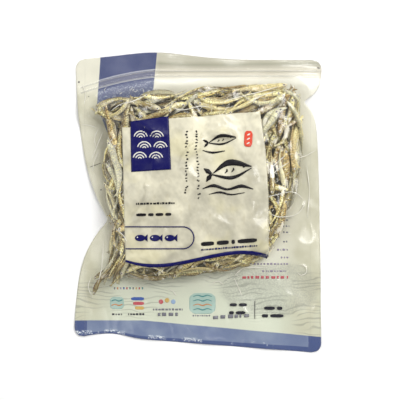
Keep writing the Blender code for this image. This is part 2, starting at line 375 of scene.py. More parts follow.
# Printed panel: its edges, each as X or Y against the other
LABEL_LEFT = ((-45.9 * MM, -58.1 * MM), (-21.8 * MM, -58.9 * MM), (60.9 * MM, -60.9 * MM))
LABEL_RIGHT = (
    (-43.9 * MM, 57.4 * MM),
    (6.0 * MM, 57.2 * MM),
    (42.7 * MM, 54.8 * MM),
    (73.9 * MM, 50.3 * MM),
)
LABEL_TOP = (65.5 * MM, 0.08, -54 * MM)  # height, slope and the X they hold at
LABEL_RAGS = ((2.4 * MM, 15), (7 * MM, 16))  # cell size and seed of the upper edge's unevenness
LABEL_RAG_HEIGHT = 0.55 * MM
PANEL_NOTCH = (-54.2 * MM, 60.9 * MM)
NOTCH_EASE = 1.2 * MM
NOTCH_RISE = 40 * MM
# Points of the wave at the panel's lower end, in millimetres
WAVE_POINTS = [
    (-56.5, -46.7),
    (-44.4, -50.8),
    (-30.3, -50.8),
    (-20.2, -48.0),
    (1.9, -45.0),
    (10.0, -44.3),
    (46.3, -39.9),
    (56.7, -43.9),
]
WAVE_DEGREE = 4
WAVE_OVERRUN = (2, 1)  # how far the wave runs on past its first and last point


def label_left(y):
    """X of the printed panel's left edge."""
    return np.interp(y, [at for at, _ in LABEL_LEFT], [x for _, x in LABEL_LEFT])


def label_right(y):
    """X of the printed panel's right edge."""
    return np.interp(y, [at for at, _ in LABEL_RIGHT], [x for _, x in LABEL_RIGHT])


def label_top(x):
    """Y of the printed panel's upper edge, a little ragged where the film is wrinkled."""
    level, slope, start = LABEL_TOP
    ragged = sum(soft_noise(x, 0 * x, cell, seed) for cell, seed in LABEL_RAGS) - 1
    return level + slope * (x - start) + LABEL_RAG_HEIGHT * ragged


def label_bottom(x):
    """Y of the wave that ends the printed panel."""
    points = np.array(WAVE_POINTS)
    fit = np.polyfit(points[:, 0], points[:, 1], WAVE_DEGREE)
    first, last = points[0, 0] - WAVE_OVERRUN[0], points[-1, 0] + WAVE_OVERRUN[1]
    return np.polyval(fit, np.clip(x / MM, first, last)) * MM


def label_mask(x, y, blur):
    """1 inside the printed panel and 0 outside it, eased over the blur."""
    inside = np.minimum(
        np.minimum(x - label_left(y), label_right(y) - x),
        np.minimum(label_top(x) - y, y - label_bottom(x)),
    )
    return smooth_step(0.5 + inside / blur)


# Fish
STATIONS = 26
FISH_SIDES = 12
SPINE_POINTS = 25
EYE_AT = 0.085
EYE_RISE = 0.18
EYE_FLATNESS = 0.45
EYE_BALLS = ((0.62, 0.74), (0.36, 0.98))  # radius over the head's depth, and how far out it sits
HEAD_CROWDING = (1.25, 0.55)  # power and share by which the stations crowd towards the head
TRUNK = (0.22, 0.7)  # where the trunk starts along the fish, and its length
FLATTENING = 0.28
FORK = (0.93, 0.07, -0.035)  # where the tail fin starts, its length and the depth of its fork
FISH_WELD = 0.0006
# How deep and how thick an anchovy is along its length, as shares of its length
BODY_STATIONS = (0.0, 0.02, 0.06, 0.12, 0.19, 0.225, 0.26, 0.42, 0.6, 0.78, 0.9, 0.94, 1.0)
BODY_DEPTHS = (
    0.004, 0.019, 0.041, 0.058, 0.068, 0.062, 0.069, 0.073, 0.058, 0.034, 0.017, 0.020, 0.06
)
BODY_WIDTHS = (
    0.004, 0.014, 0.027, 0.036, 0.040, 0.032, 0.036, 0.035, 0.027, 0.016, 0.008, 0.005, 0.0025
)
# Each kind's belly, shrivelling, arch of the back and dryness seed
FISH_KINDS = {
    "full": (1.06, 0.10, 0.004, 3),
    "lean": (0.62, 0.18, 0.010, 5),
    "curled": (0.80, 0.15, 0.016, 7),
    "small": (0.66, 0.14, 0.006, 9),
}
# Each kind's length, and how much its fish bend
KIND_LENGTHS = {"full": 1.04, "lean": 0.96, "curled": 0.92, "small": 0.78}
KIND_BENDS = {"full": 0.10, "lean": 0.16, "curled": 0.30, "small": 0.18}
FISH_SEED = 21
BEND_SHORTENING = 0.6

# How the fish are laid
FISH_TRIES = 14
SIDE_LEAN = 0.10
END_HEADING = 0.06
STRAY_SHARE = 0.34
STRAY_TURN = 0.9
USUAL_TURN = 0.42
MOST_BEND = 0.4
S_BEND = 0.012
ROUGHNESS_WEIGHT = 0.25
ROLL = 0.35
FISH_NEST = 0.62
LABEL_BED_SHARE = 0.5
LABEL_BED_BLUR = 6 * MM
BED_CLEARANCE = 0.4 * MM
BED_RAMP = (1.5 * MM, 0.75)  # where the core starts inside the rim, and how steeply it rises
OVERHANG = -2.0 * MM
SHADE_DEPTH = 4.6 * MM
STEEPEST = 0.5
REST_PERCENTILE = 88
PILE_EASE = 3.0
SPINE_EASE = 2.5
FISH_STIFFNESS = 0.72
FISH_SINK = 1.4 * MM
STAMP_REACH = 3.5 * MM
SLOPE_STEP = 0.5 * MM
SLOPE_SHARE = 0.7
TWIST = 0.5
PILE_BLUR = 2.0 * MM
SHADE_RIM = (1 * MM, 9 * MM)  # where the shade starts inside the rim, and over how far it grows
# Bundles of fish in the fold at the lower left corner: their two ends and number of fish
SPURS = [
    ((-65 * MM, -30 * MM), (-68 * MM, -50 * MM), 9),
    ((-66 * MM, -46 * MM), (-75 * MM, -60 * MM), 10),
    ((-59 * MM, -44 * MM), (-65 * MM, -56 * MM), 6),
]
SPUR_SCATTER = (1.8 * MM, 1.2 * MM)
SPUR_TURN = 0.22
SPUR_LENGTHS = (0.72, 0.9)
SPUR_BEND = 0.08
SPUR_S_BEND = 0.01
SPUR_ROLL = 0.3


def mesh_of(name, bm):
    """A mesh made from a bmesh, which is freed."""
    mesh = bpy.data.meshes.new(name)
    bm.to_mesh(mesh)
    bm.free()
    return mesh


def fish_mesh(kind):
    """One straight anchovy along +X with its back to +Y: a rolled grid with eyes added."""
    fullness, shrivel, arch, seed = FISH_KINDS[kind]
    draw = np.random.default_rng(seed)
    lumps = draw.uniform(0, 2 * math.pi, 4)
    power, share = HEAD_CROWDING
    bm = bmesh.new()
    bm.loops.layers.uv.new("along_and_round")
    bmesh.ops.create_grid(
        bm, x_segments=STATIONS - 1, y_segments=FISH_SIDES, size=0.5, calc_uvs=True
    )
    for vert in bm.verts:
        even = vert.co.x + 0.5
        along = even**power * share + even * (1 - share)
        turn = 2 * math.pi * (vert.co.y + 0.5)
        depth = np.interp(along, BODY_STATIONS, BODY_DEPTHS)
        width = np.interp(along, BODY_STATIONS, BODY_WIDTHS)
        trunk = math.sin(math.pi * min(max((along - TRUNK[0]) / TRUNK[1], 0.0), 1.0))
        rough = math.cos(3 * turn + lumps[0] + 9 * along) + math.cos(2 * turn + lumps[1] - 23 * along)
        depth *= 1 + (fullness - 1) * trunk + shrivel * trunk * rough / 2
        groove = math.cos(4 * turn + lumps[2]) + math.sin(31 * along + 2 * turn + lumps[3])
        width *= 1 + (fullness - 1) * trunk + shrivel * trunk * groove
        width *= 1 - FLATTENING * math.cos(turn) ** 2
        tail = min(max((along - FORK[0]) / FORK[1], 0.0), 1.0)
        fork = FORK[2] * tail * (1 - abs(math.cos(turn)))
        vert.co.x = along + fork
        vert.co.y = depth * math.cos(turn) + arch * math.sin(math.pi * along)
        vert.co.z = width * math.sin(turn)
    bmesh.ops.remove_doubles(bm, verts=bm.verts[:], dist=FISH_WELD)
    add_eyes(bm, arch)
    bmesh.ops.recalc_face_normals(bm, faces=bm.faces[:])
    for face in bm.faces:
        face.smooth = True
    return mesh_of("anchovy_" + kind, bm)


def add_eyes(bm, arch):
    """A pale ring and a dark pupil on each side of the head, as flattened balls."""
    depth = np.interp(EYE_AT, BODY_STATIONS, BODY_DEPTHS)
    width = np.interp(EYE_AT, BODY_STATIONS, BODY_WIDTHS)
    rise = EYE_RISE * depth + arch * math.sin(math.pi * EYE_AT)
    for side in (-1, 1):
        for number, (size, out) in enumerate(EYE_BALLS):
            radius = size * depth
            ball = bmesh.ops.create_uvsphere(bm, u_segments=8, v_segments=5, radius=radius)
            for vert in ball["verts"]:
                vert.co.z = side * out * width + EYE_FLATNESS * vert.co.z
                vert.co.x += EYE_AT
                vert.co.y += rise
            faces = {face for vert in ball["verts"] for face in vert.link_faces}
            for face in faces:
                face.material_index = number + 1


def spine_points(x, y, heading, length, bend, twist):
    """X and Y along a fish's spine, bent into a bow and a slight S."""
    along = np.linspace(0, 1, SPINE_POINTS)
    forward = (along - 0.5) * length * (1 - BEND_SHORTENING * bend * bend)
    bow = bend * ((2 * along - 1) ** 2 - 1 / 3) * length
    sideways = bow + twist * np.sin(2 * math.pi * along) * length
    ahead, aside = math.cos(heading), math.sin(heading)
    return x + ahead * forward - aside * sideways, y + aside * forward + ahead * sideways


def bed_height(x, y, depth):
    """Z of the core below the loose fish, painted dark as shade, which slopes down towards the block's
    rim.
    """
    shallow = depth * (1 - LABEL_BED_SHARE * label_mask(x, y, LABEL_BED_BLUR))
    start, steepness = BED_RAMP
    ramp = (rim_gap(x, y) - start) * steepness
    bed = np.minimum(tent_height(x, y) - shallow, ramp)
    return np.maximum(bed, back_height(x, y) + BED_CLEARANCE)


@functools.cache
def laid_fish(count, shortest, longest, bed_depth):
    """Every fish with its spine, laid one by one on the pile where it is lowest."""
    draw = np.random.default_rng(FISH_SEED)
    grid = HeightGrid()
    goal = tent_height(grid.x, grid.y)
    grid.z = bed_height(grid.x, grid.y, bed_depth)
    kinds = list(FISH_KINDS)
    school = []
    for (ax, ay), (bx, by), members in SPURS:
        for number in range(members):
            share = (number + 0.5) / members
            x = ax * (1 - share) + bx * share + draw.normal(0, SPUR_SCATTER[0])
            y = ay * (1 - share) + by * share + draw.normal(0, SPUR_SCATTER[1])
            heading = math.atan2(by - ay, bx - ax) + draw.normal(0, SPUR_TURN)
            heading += math.pi * draw.integers(2)
            kind = kinds[number % len(kinds)]
            length = draw.uniform(*SPUR_LENGTHS) * shortest
            line = spine_points(x, y, heading, length, draw.normal(0, SPUR_BEND), SPUR_S_BEND)
            school.append(rest_fish(grid, goal, kind, length, line, draw.normal(0, SPUR_ROLL)))
    for number in range(count):
        kind = kinds[number % len(kinds)]
        length = draw.uniform(shortest, longest) * KIND_LENGTHS[kind]
        line = lowest_place(draw, grid, goal, kind, length)
        school.append(rest_fish(grid, goal, kind, length, line, draw.normal(0, ROLL)))
    return school, grid


def lowest_place(draw, grid, goal, kind, length):
    """A spine over the lowest stretch of the pile that a few tries find."""
    best, lowest = None, 1e9
    tries = 0
    while tries < FISH_TRIES or best is None:
        tries += 1
        across, along = draw.uniform(-1, 1, 2)
        x, y = block_place(across, along)
        beside = abs(across) > abs(along)
        heading = math.pi / 2 + SIDE_LEAN * across if beside else END_HEADING
        loose = STRAY_TURN if draw.random() < STRAY_SHARE else USUAL_TURN
        heading += draw.normal(0, loose) + math.pi * draw.integers(2)
        bend = np.clip(draw.normal(0, KIND_BENDS[kind]), -MOST_BEND, MOST_BEND)
        line = spine_points(x, y, heading, length, bend, draw.normal(0, S_BEND))
        if rim_gap(*line).min() < OVERHANG * (draw.random() ** 2):
            continue
        pile = grid.at(*line)
        level = np.mean(pile - grid.at(*line, goal)) + ROUGHNESS_WEIGHT * np.std(pile)
        if level < lowest:
            best, lowest = line, level
    return best


def rest_fish(grid, goal, kind, length, line, roll):
    """Rests a fish on the pile, adds it to the pile and gives what its mesh needs."""
    along = np.linspace(0, 1, SPINE_POINTS)
    depth = np.interp(along, BODY_STATIONS, BODY_DEPTHS) * length
    width = np.interp(along, BODY_STATIONS, BODY_WIDTHS) * length
    half_across = np.hypot(depth * math.cos(roll), width * math.sin(roll))
    half_high = np.hypot(depth * math.sin(roll), width * math.cos(roll))
    ahead = np.gradient(line[0]), np.gradient(line[1])
    size = np.hypot(*ahead) + 1e-9
    aside = -ahead[1] / size, ahead[0] / size
    under = np.max(
        [
            grid.at(line[0] + aside[0] * s * half_across, line[1] + aside[1] * s * half_across)
            for s in (-0.5, 0.0, 0.5)
        ],
        axis=0,
    )
    slope, _ = np.polyfit(along, under, 1)
    slope = np.clip(slope, -STEEPEST * length, STEEPEST * length)
    straight = slope * along
    straight = straight + np.percentile(under - straight, REST_PERCENTILE)
    followed = FISH_STIFFNESS * straight + (1 - FISH_STIFFNESS) * eased_line(under, PILE_EASE)
    held_up = np.maximum(followed, under - FISH_SINK)
    height = eased_line(held_up, SPINE_EASE) + FISH_NEST * half_high
    stamp_fish(grid, line, height, half_across, half_high)
    x, y = line
    step = SLOPE_STEP
    slope_x = (grid.at(x + step, y, goal) - grid.at(x - step, y, goal)) / (2 * step)
    slope_y = (grid.at(x, y + step, goal) - grid.at(x, y - step, goal)) / (2 * step)
    leaning = -SLOPE_SHARE * slope_x, -SLOPE_SHARE * slope_y, np.ones_like(slope_x)
    spine = np.stack([x, y, height], axis=1)
    return kind, length, roll, spine, np.stack(leaning, axis=1)


def eased_line(values, reach):
    """Values along a spine, blurred over this many points."""
    steps = int(3 * reach)
    spread = np.exp(-0.5 * (np.arange(-steps, steps + 1) / reach) ** 2)
    return np.convolve(np.pad(values, steps, mode="edge"), spread / spread.sum(), mode="valid")


def stamp_fish(grid, line, height, half_across, half_high):
    """Raises the pile where a fish lies."""
    left = int((line[0].min() - STAMP_REACH - grid.low_x) / GRID_STEP)
    right = int((line[0].max() + STAMP_REACH - grid.low_x) / GRID_STEP) + 2
    below = int((line[1].min() - STAMP_REACH - grid.low_y) / GRID_STEP)
    above = int((line[1].max() + STAMP_REACH - grid.low_y) / GRID_STEP) + 2
    area = (slice(max(below, 0), above), slice(max(left, 0), right))
    away = np.hypot(grid.x[area][..., None] - line[0], grid.y[area][..., None] - line[1])
    nearest = away.argmin(axis=-1)
    share = np.take_along_axis(away, nearest[..., None], -1)[..., 0] / half_across[nearest]
    top = height[nearest] + half_high[nearest] * np.sqrt(np.clip(1 - share**2, 0, 1))
    grid.z[area] = np.where(share < 1, np.maximum(grid.z[area], top), grid.z[area])


def bent_vertices(rest, length, roll, spine, upright, twist):
    """A straight fish's vertices carried onto its spine."""
    stations = np.linspace(0, 1, SPINE_POINTS)
    tangent = np.gradient(spine, axis=0)
    tangent /= np.linalg.norm(tangent, axis=1, keepdims=True)
    side = np.cross(upright, tangent)
    side /= np.linalg.norm(side, axis=1, keepdims=True)
    up = np.cross(tangent, side)
    turn = roll + twist * np.linspace(-0.5, 0.5, SPINE_POINTS)[:, None]
    back = side * np.cos(turn) + up * np.sin(turn)
    flank = up * np.cos(turn) - side * np.sin(turn)
    along = rest[:, 0]

    def carried(values):
        """Rows along the spine, read at each vertex's place along the fish."""
        return np.stack([np.interp(along, stations, values[:, i]) for i in range(3)], axis=1)

    over = np.clip(along - 1, 0, None)[:, None] * length * tangent[-1]
    return (
        carried(spine)
        + over
        + carried(back) * rest[:, 1:2] * length
        + carried(flank) * rest[:, 2:3] * length
    )


def outline_middle():
    """The middle of the pouch's outline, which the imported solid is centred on."""
    along = np.linspace(0, 1, OUTLINE_POINTS)
    ends = np.zeros(OUTLINE_POINTS), np.ones(OUTLINE_POINTS)
    x = np.concatenate([film_place(side, along)[0] for side in ends])
    y = np.concatenate([film_place(along, end)[1] for end in ends])
    return (x.min() + x.max()) / 2, (y.min() + y.max()) / 2


MIDDLE = outline_middle()


def finish_piece(name, mesh, materials, body="root"):
    """Centres a mesh drawn in the pouch's frame and makes it a piece of the pouch."""
    mesh.name = name
    for material in materials:
        mesh.materials.append(material)
    places = vertex_places(mesh)
    places[:, 0] -= MIDDLE[0]
    places[:, 1] -= MIDDLE[1]
    set_places(mesh, places)
    piece = bpy.data.objects.new(name, mesh)
    bpy.context.scene.collection.objects.link(piece)
    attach(piece, body)
    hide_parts(NODE)
    return piece


def vertex_places(mesh):
    """A mesh's vertices as rows of X, Y and Z."""
    flat = np.zeros(len(mesh.vertices) * 3)
    mesh.vertices.foreach_get("co", flat)
    return flat.reshape(-1, 3)


def set_places(mesh, places):
    """Writes rows of X, Y and Z back to a mesh."""
    mesh.vertices.foreach_set("co", np.ascontiguousarray(places).ravel())
    mesh.update()


def sheet_mesh(name, columns, rows, place, top, bottom=None):
    """A grid of X and Y from place, with top heights, and closed by bottom heights if given."""
    bm = bmesh.new()
    bmesh.ops.create_grid(bm, x_segments=columns, y_segments=rows, size=0.5, calc_uvs=False)
    if bottom is not None:
        upper = bmesh.ops.extrude_face_region(bm, geom=bm.faces[:])["geom"]
        for vert in [item for item in upper if isinstance(item, bmesh.types.BMVert)]:
            vert.co.z = 1.0
    bmesh.ops.recalc_face_normals(bm, faces=bm.faces[:])
    for face in bm.faces:
        face.smooth = True
    mesh = mesh_of(name, bm)
    rest = vertex_places(mesh)
    x, y = place(rest[:, 0] + 0.5, rest[:, 1] + 0.5)
    z = top(x, y)
    if bottom is not None:
        z = np.where(rest[:, 2] > 0.5, z, bottom(x, y))
    set_places(mesh, np.stack([x, y, z], axis=1))
    return mesh


# Film
FILM_COLUMNS = 190
FILM_ROWS = 230
BACK_COLUMNS = 110
BACK_ROWS = 132
BACK_SHEET = 0.15 * MM
FRONT_SHEET = 0.06 * MM
LEAST_AIR = 0.15 * MM
WINDOW_SINK = 2.2 * MM
WINDOW_SINK_STOP = 0.1 * MM
SKIN_BLUR = 0.55 * MM
RIM_EASE = 8 * MM
FISH_CLEARANCE = 0.12 * MM
TOP_DROP = 0.05 * MM
WINDOW_BALL = 60 * MM
WINDOW_REACH = 7 * MM
TENT_BALL = 16 * MM
TENT_SPAN = 13 * MM
LABEL_BALL = 130 * MM
LABEL_REACH = 10 * MM
LABEL_BLUR = 5 * MM
LABEL_SMOOTHING = 1.6 * MM
LABEL_CALM = 0.8
ZIP_TUBE = 0.6 * MM
ZIP_REACH = 1.5 * MM
ZIP_HEIGHT = 2.3
ZIP_INSET = 4 * MM
ZIP_REST = 1.05
ZIP_COLUMNS = 160
ZIP_SIDES = 8
ZIP_WELD = 0.05 * MM
# Crumples of the film: cell size, seed, sharpness and height
BROAD_CRUMPLE = (26 * MM, 3, 2, 0.9 * MM)
MIDDLE_CRUMPLE = (11 * MM, 4, 5, 0.45 * MM)
HEADER_STREAKS = (5 * MM, 7, 1, 0.5 * MM)
TAUT_CRUMPLES = ((8 * MM, 6, 6, 0.3 * MM), (4.5 * MM, 9, 6, 0.15 * MM))
FINE_CRUMPLE = (3.2 * MM, 5, 0.07 * MM)  # cell size, seed and height
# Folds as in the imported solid: ends, height and half width
FILM_FOLDS = [
    ((-64 * MM, -47 * MM), (-83 * MM, -78 * MM), 6 * MM, 6 * MM),
    ((-74 * MM, -28 * MM), (-78 * MM, -72 * MM), 2.2 * MM, 3.5 * MM),
    ((84 * MM, 0 * MM), (93 * MM, -8 * MM), 2.2 * MM, 4 * MM),
]
# Finer creases that only the film has, the same way in millimetres
FILM_CREASES = [
    ((68.0, 0.0), (80.1, 8.9), 1.0, 1.4),
    ((80.1, 8.9), (87.4, 1.6), 1.1, 1.3),
    ((87.4, 1.6), (84.1, -8.1), 0.9, 1.4),
    ((84.1, -8.1), (72.9, -11.3), 0.9, 1.4),
    ((72.9, -11.3), (68.0, 0.0), 0.8, 1.4),
    ((83.3, 37.1), (94.6, 43.5), 1.2, 1.6),
    ((41.4, -50.8), (51.1, -54.8), 0.9, 1.6),
    ((32.6, -55.6), (27.7, -63.7), 1.1, 1.8),
    ((27.7, -63.7), (33.4, -76.6), 0.8, 1.6),
    ((82.5, -49.2), (89.0, -55.6), 0.9, 2.0),
    ((-78.6, -41.9), (-76.2, -70.1), 1.2, 1.5),
    ((-86.7, 32.2), (-94.0, 28.0), 0.6, 1.2),
    ((70.0, 60.0), (92.0, 66.0), 0.7, 1.6),
    ((-20.0, -62.0), (-8.0, -72.0), 0.8, 1.8),
    ((2.0, -60.0), (14.0, -74.0), 0.7, 1.8),
    ((-46.0, -58.0), (-52.0, -74.0), 0.8, 1.8),
    ((56.0, -46.0), (66.0, -66.0), 0.8, 1.8),
]
# Lines along which the film has whitened, partly as stress whitening and partly as painted highlight,
# in millimetres
CREASE_LINES = [
    [(57.0, 5.0), (63.0, 6.5), (77.0, 8.8), (86.5, 2.0)],
    [(86.5, 2.0), (85.0, -3.0), (79.0, -9.5), (66.0, -11.2), (57.0, -8.0)],
    [(66.0, 1.5), (75.0, 0.2), (84.0, 1.0)],
    [(56.5, 25.5), (64.5, 33.0), (71.0, 38.5)],
    [(58.0, 21.0), (66.0, 28.0), (74.0, 33.0)],
    [(80.5, 36.0), (88.0, 38.5), (96.0, 43.0)],
    [(82.0, 33.5), (90.0, 35.0)],
    [(29.5, -59.0), (34.0, -54.5), (40.0, -52.0), (56.5, -52.0)],
    [(29.5, -60.5), (33.0, -68.5), (36.0, -75.0)],
    [(82.0, -49.5), (87.0, -51.0), (87.6, -56.0), (83.5, -58.3), (80.5, -56.0)],
    [(-66.0, -20.5), (-60.0, -26.0), (-57.0, -31.0)],
    [(-79.0, 55.5), (-74.0, 60.0), (-69.5, 66.0)],
    [(-80.0, 60.0), (-83.0, 52.0), (-81.5, 44.0)],
    [(-70.0, 74.0), (-62.0, 79.5), (-52.0, 82.0), (-41.0, 87.0)],
    [(-46.0, 79.0), (-43.0, 84.0), (-38.5, 89.0)],
    [(-22.0, 77.5), (-12.0, 75.0), (2.0, 78.0), (10.0, 77.0)],
    [(18.0, 80.5), (30.0, 84.5), (48.0, 89.0), (66.0, 94.0)],
    [(40.0, 80.0), (52.0, 86.5), (63.0, 90.0)],
    [(-24.0, -69.0), (-20.0, -71.0), (-17.0, -75.0)],
    [(9.0, -67.0), (16.0, -63.0), (21.0, -66.0)],
    [(-86.0, -60.0), (-88.0, -68.0), (-84.0, -77.0)],
    [(-76.2, 57.7), (-81.0, 46.0), (-85.6, 34.7)],
    [(-93.5, 63.4), (-87.0, 62.6), (-81.2, 60.5)],
    [(-80.0, 41.0), (-83.5, 33.0), (-84.5, 25.0)],
    [(-93.0, 96.0), (-90.5, 88.0), (-91.5, 79.0)],
    [(88.0, 30.0), (90.0, 10.0), (88.5, -12.0)],
    [(74.0, 88.0), (84.0, 86.0), (95.0, 89.0)],
    [(78.0, 76.0), (84.0, 70.0), (88.0, 60.0)],
    [(-76.0, -30.0), (-76.4, -41.0), (-77.5, -53.0), (-80.3, -65.4)],
    [(-80.5, -70.0), (-78.5, -73.5), (-74.0, -74.0)],
    [(-82.0, -66.0), (-80.0, -70.0), (-79.0, -74.5)],
]
# Small dark specks and ticks on the front film: ends in millimetres and width
SPECKS = [
    ((-96.1, 97.5), (-95.1, 97.5), 1.1),
    ((96.4, 109.0), (98.6, 108.6), 0.6),
    ((-86.7, 29.0), (-77.9, 32.2), 0.35),
    ((-78.3, 10.5), (-77.4, 10.7), 0.8),
    ((81.0, 60.6), (82.0, 60.5), 0.9),
    ((-88.0, 85.8), (-87.4, 85.9), 0.5),
]
# Fields of short fine painted glints: their X and Y ranges in millimetres and their number
GLINT_FIELDS = [
    (-78.0, -36.0, 76.0, 92.0, 34),
    (56.0, 76.0, -30.0, 84.0, 60),
    (-30.0, 54.0, 72.0, 86.0, 46),
    (-74.0, -60.0, -40.0, 70.0, 34),
    (-52.0, 46.0, -62.0, -50.0, 26),
]
GLINT_SEED = 31
CREASE_WIDTHS = [0.15, 0.7, 0.45, 0.75, 0.15]
GLINT_WIDTHS = [0.12, 0.42, 0.12]
GLINT_LENGTHS = (1.0, 4.5)
GLINT_TURN = (0.3, 0.9)
GLINT_BEND = 0.4
CREASE_LIFTS = 1.2  # in print lifts
DROP_POINTS = 40
DROP_PERCENTILE = 90
STEEP_DROP = 1.8  # creases that the film falls along more steeply are left out


def crease_height(x, y):
    """Height of the film's finer creases."""
    folds = [
        ((ax * MM, ay * MM), (bx * MM, by * MM), height * MM, width * MM)
        for (ax, ay), (bx, by), height, width in FILM_CREASES
    ]
    return fold_height(x, y, folds)


def crumpled(x, y, shape):
    """Height of one kind of crumple."""
    cell, seed, sharpness, height = shape
    return creases(x, y, cell, seed) ** sharpness * height


def crumple(x, y):
    """Height that the film's crumpling adds, large in the margins and small on the block."""
    gap = rim_gap(x, y)
    sides, ends = edge_gap(x, y)
    loose = smooth_step(-gap / (6 * MM) + 0.4)
    header = smooth_step((y - zip_line(x)) / (4 * MM) + 0.5)
    seal = smooth_step(np.minimum(sides / SIDE_SEAL, ends / END_SEAL))
    broad = crumpled(x, y, BROAD_CRUMPLE) * (1 - 0.8 * header)
    middle = crumpled(x, 0.7 * y + 0.3 * x, MIDDLE_CRUMPLE) * (1 - header)
    streaks = crumpled(0.16 * x, y, HEADER_STREAKS) * header
    cell, seed, height = FINE_CRUMPLE
    fine = soft_noise(x, y, cell, seed) * height
    taut = crumpled(x, y, TAUT_CRUMPLES[0]) + crumpled(y, x, TAUT_CRUMPLES[1])
    slack = (0.15 + 0.85 * seal) * (broad + middle + fine) + streaks
    return loose * slack + (1 - loose) * taut


@functools.cache
def film_skin():
    """Heights of the front film, drawn over the fish, the folds and the zip."""
    grid = HeightGrid()
    x, y = grid.x, grid.y
    tops = fish_tops(grid)
    back = back_height(x, y) + BACK_SHEET
    tent = np.maximum(tent_height(x, y) - WINDOW_SINK, back + WINDOW_SINK_STOP)
    label = label_mask(x, y, LABEL_BLUR)
    held = np.maximum(tent + fold_height(x, y, FILM_FOLDS), tops)
    window = bridged(held, WINDOW_REACH, WINDOW_BALL)
    outside = smooth_step(0.5 - rim_gap(x, y) / RIM_EASE)
    window = window * (1 - outside) + bridged(held, TENT_SPAN, TENT_BALL) * outside
    panel = softened(bridged(held, LABEL_REACH, LABEL_BALL), LABEL_SMOOTHING)
    skin = softened(window * (1 - label) + panel * label, SKIN_BLUR)
    skin = skin + crumple(x, y) * (1 - LABEL_CALM * label) + crease_height(x, y)
    away = y - zip_line(x)
    for track in ZIP_TRACKS:
        ridge = back + ZIP_HEIGHT * ZIP_TUBE - (away - track) ** 2 / ZIP_REACH
        skin = np.maximum(skin, ridge)
    skin = np.maximum(skin, back + LEAST_AIR)
    grid.z = np.maximum(skin, tops + FISH_CLEARANCE)
    return grid


def fish_tops(grid):
    """The highest fish vertex near each grid point."""
    tops = np.full_like(grid.z, -1.0)
    for kind in FISH_KINDS:
        places = vertex_places(bpy.data.objects["anchovies_" + kind].data)
        column = np.rint((places[:, 0] + MIDDLE[0] - grid.low_x) / GRID_STEP).astype(int)
        row = np.rint((places[:, 1] + MIDDLE[1] - grid.low_y) / GRID_STEP).astype(int)
        inside = (column >= 0) & (column < grid.columns) & (row >= 0) & (row < grid.rows)
        np.maximum.at(tops, (row[inside], column[inside]), places[inside, 2])
    spread = tops.copy()
    for row in (-1, 0, 1):
        for column in (-1, 0, 1):
            drop = TOP_DROP * (abs(row) + abs(column))
            spread = np.maximum(spread, slid(tops, row, column) - drop)
    return spread


def depth_under(grid, places):
    """How deep each vertex lies in the pile, from 0 on its top to 1 at the shade depth, for the painted
    shade on deeper fish.
    """
    top = softened(grid.z, PILE_BLUR)
    depth = grid.at(places[:, 0], places[:, 1], top) - places[:, 2]
    return np.clip(depth / SHADE_DEPTH, 0, 1)


class Wire:
    """A socket of numbers, on which sums and comparisons add Math nodes."""

    def __init__(self, recipe, socket):
        self.recipe = recipe
        self.socket = socket

    def other(self, index):
        """Another output of the same node."""
        return Wire(self.recipe, self.socket.node.outputs[index])

    def __add__(self, value):
        return self.recipe.number("ADD", self, value)

    def __radd__(self, value):
        return self.recipe.number("ADD", value, self)

    def __sub__(self, value):
        return self.recipe.number("SUBTRACT", self, value)

    def __rsub__(self, value):
        return self.recipe.number("SUBTRACT", value, self)

    def __mul__(self, value):
        return self.recipe.number("MULTIPLY", self, value)

    def __rmul__(self, value):
        return self.recipe.number("MULTIPLY", value, self)

    def __truediv__(self, value):
        return self.recipe.number("DIVIDE", self, value)

    def __pow__(self, value):
        return self.recipe.number("POWER", self, value)

    def __abs__(self):
        return self.recipe.number("ABSOLUTE", self)

    def least(self, value):
        """The smaller of this and another value."""
        return self.recipe.number("MINIMUM", self, value)

    def most(self, value):
        """The larger of this and another value."""
        return self.recipe.number("MAXIMUM", self, value)


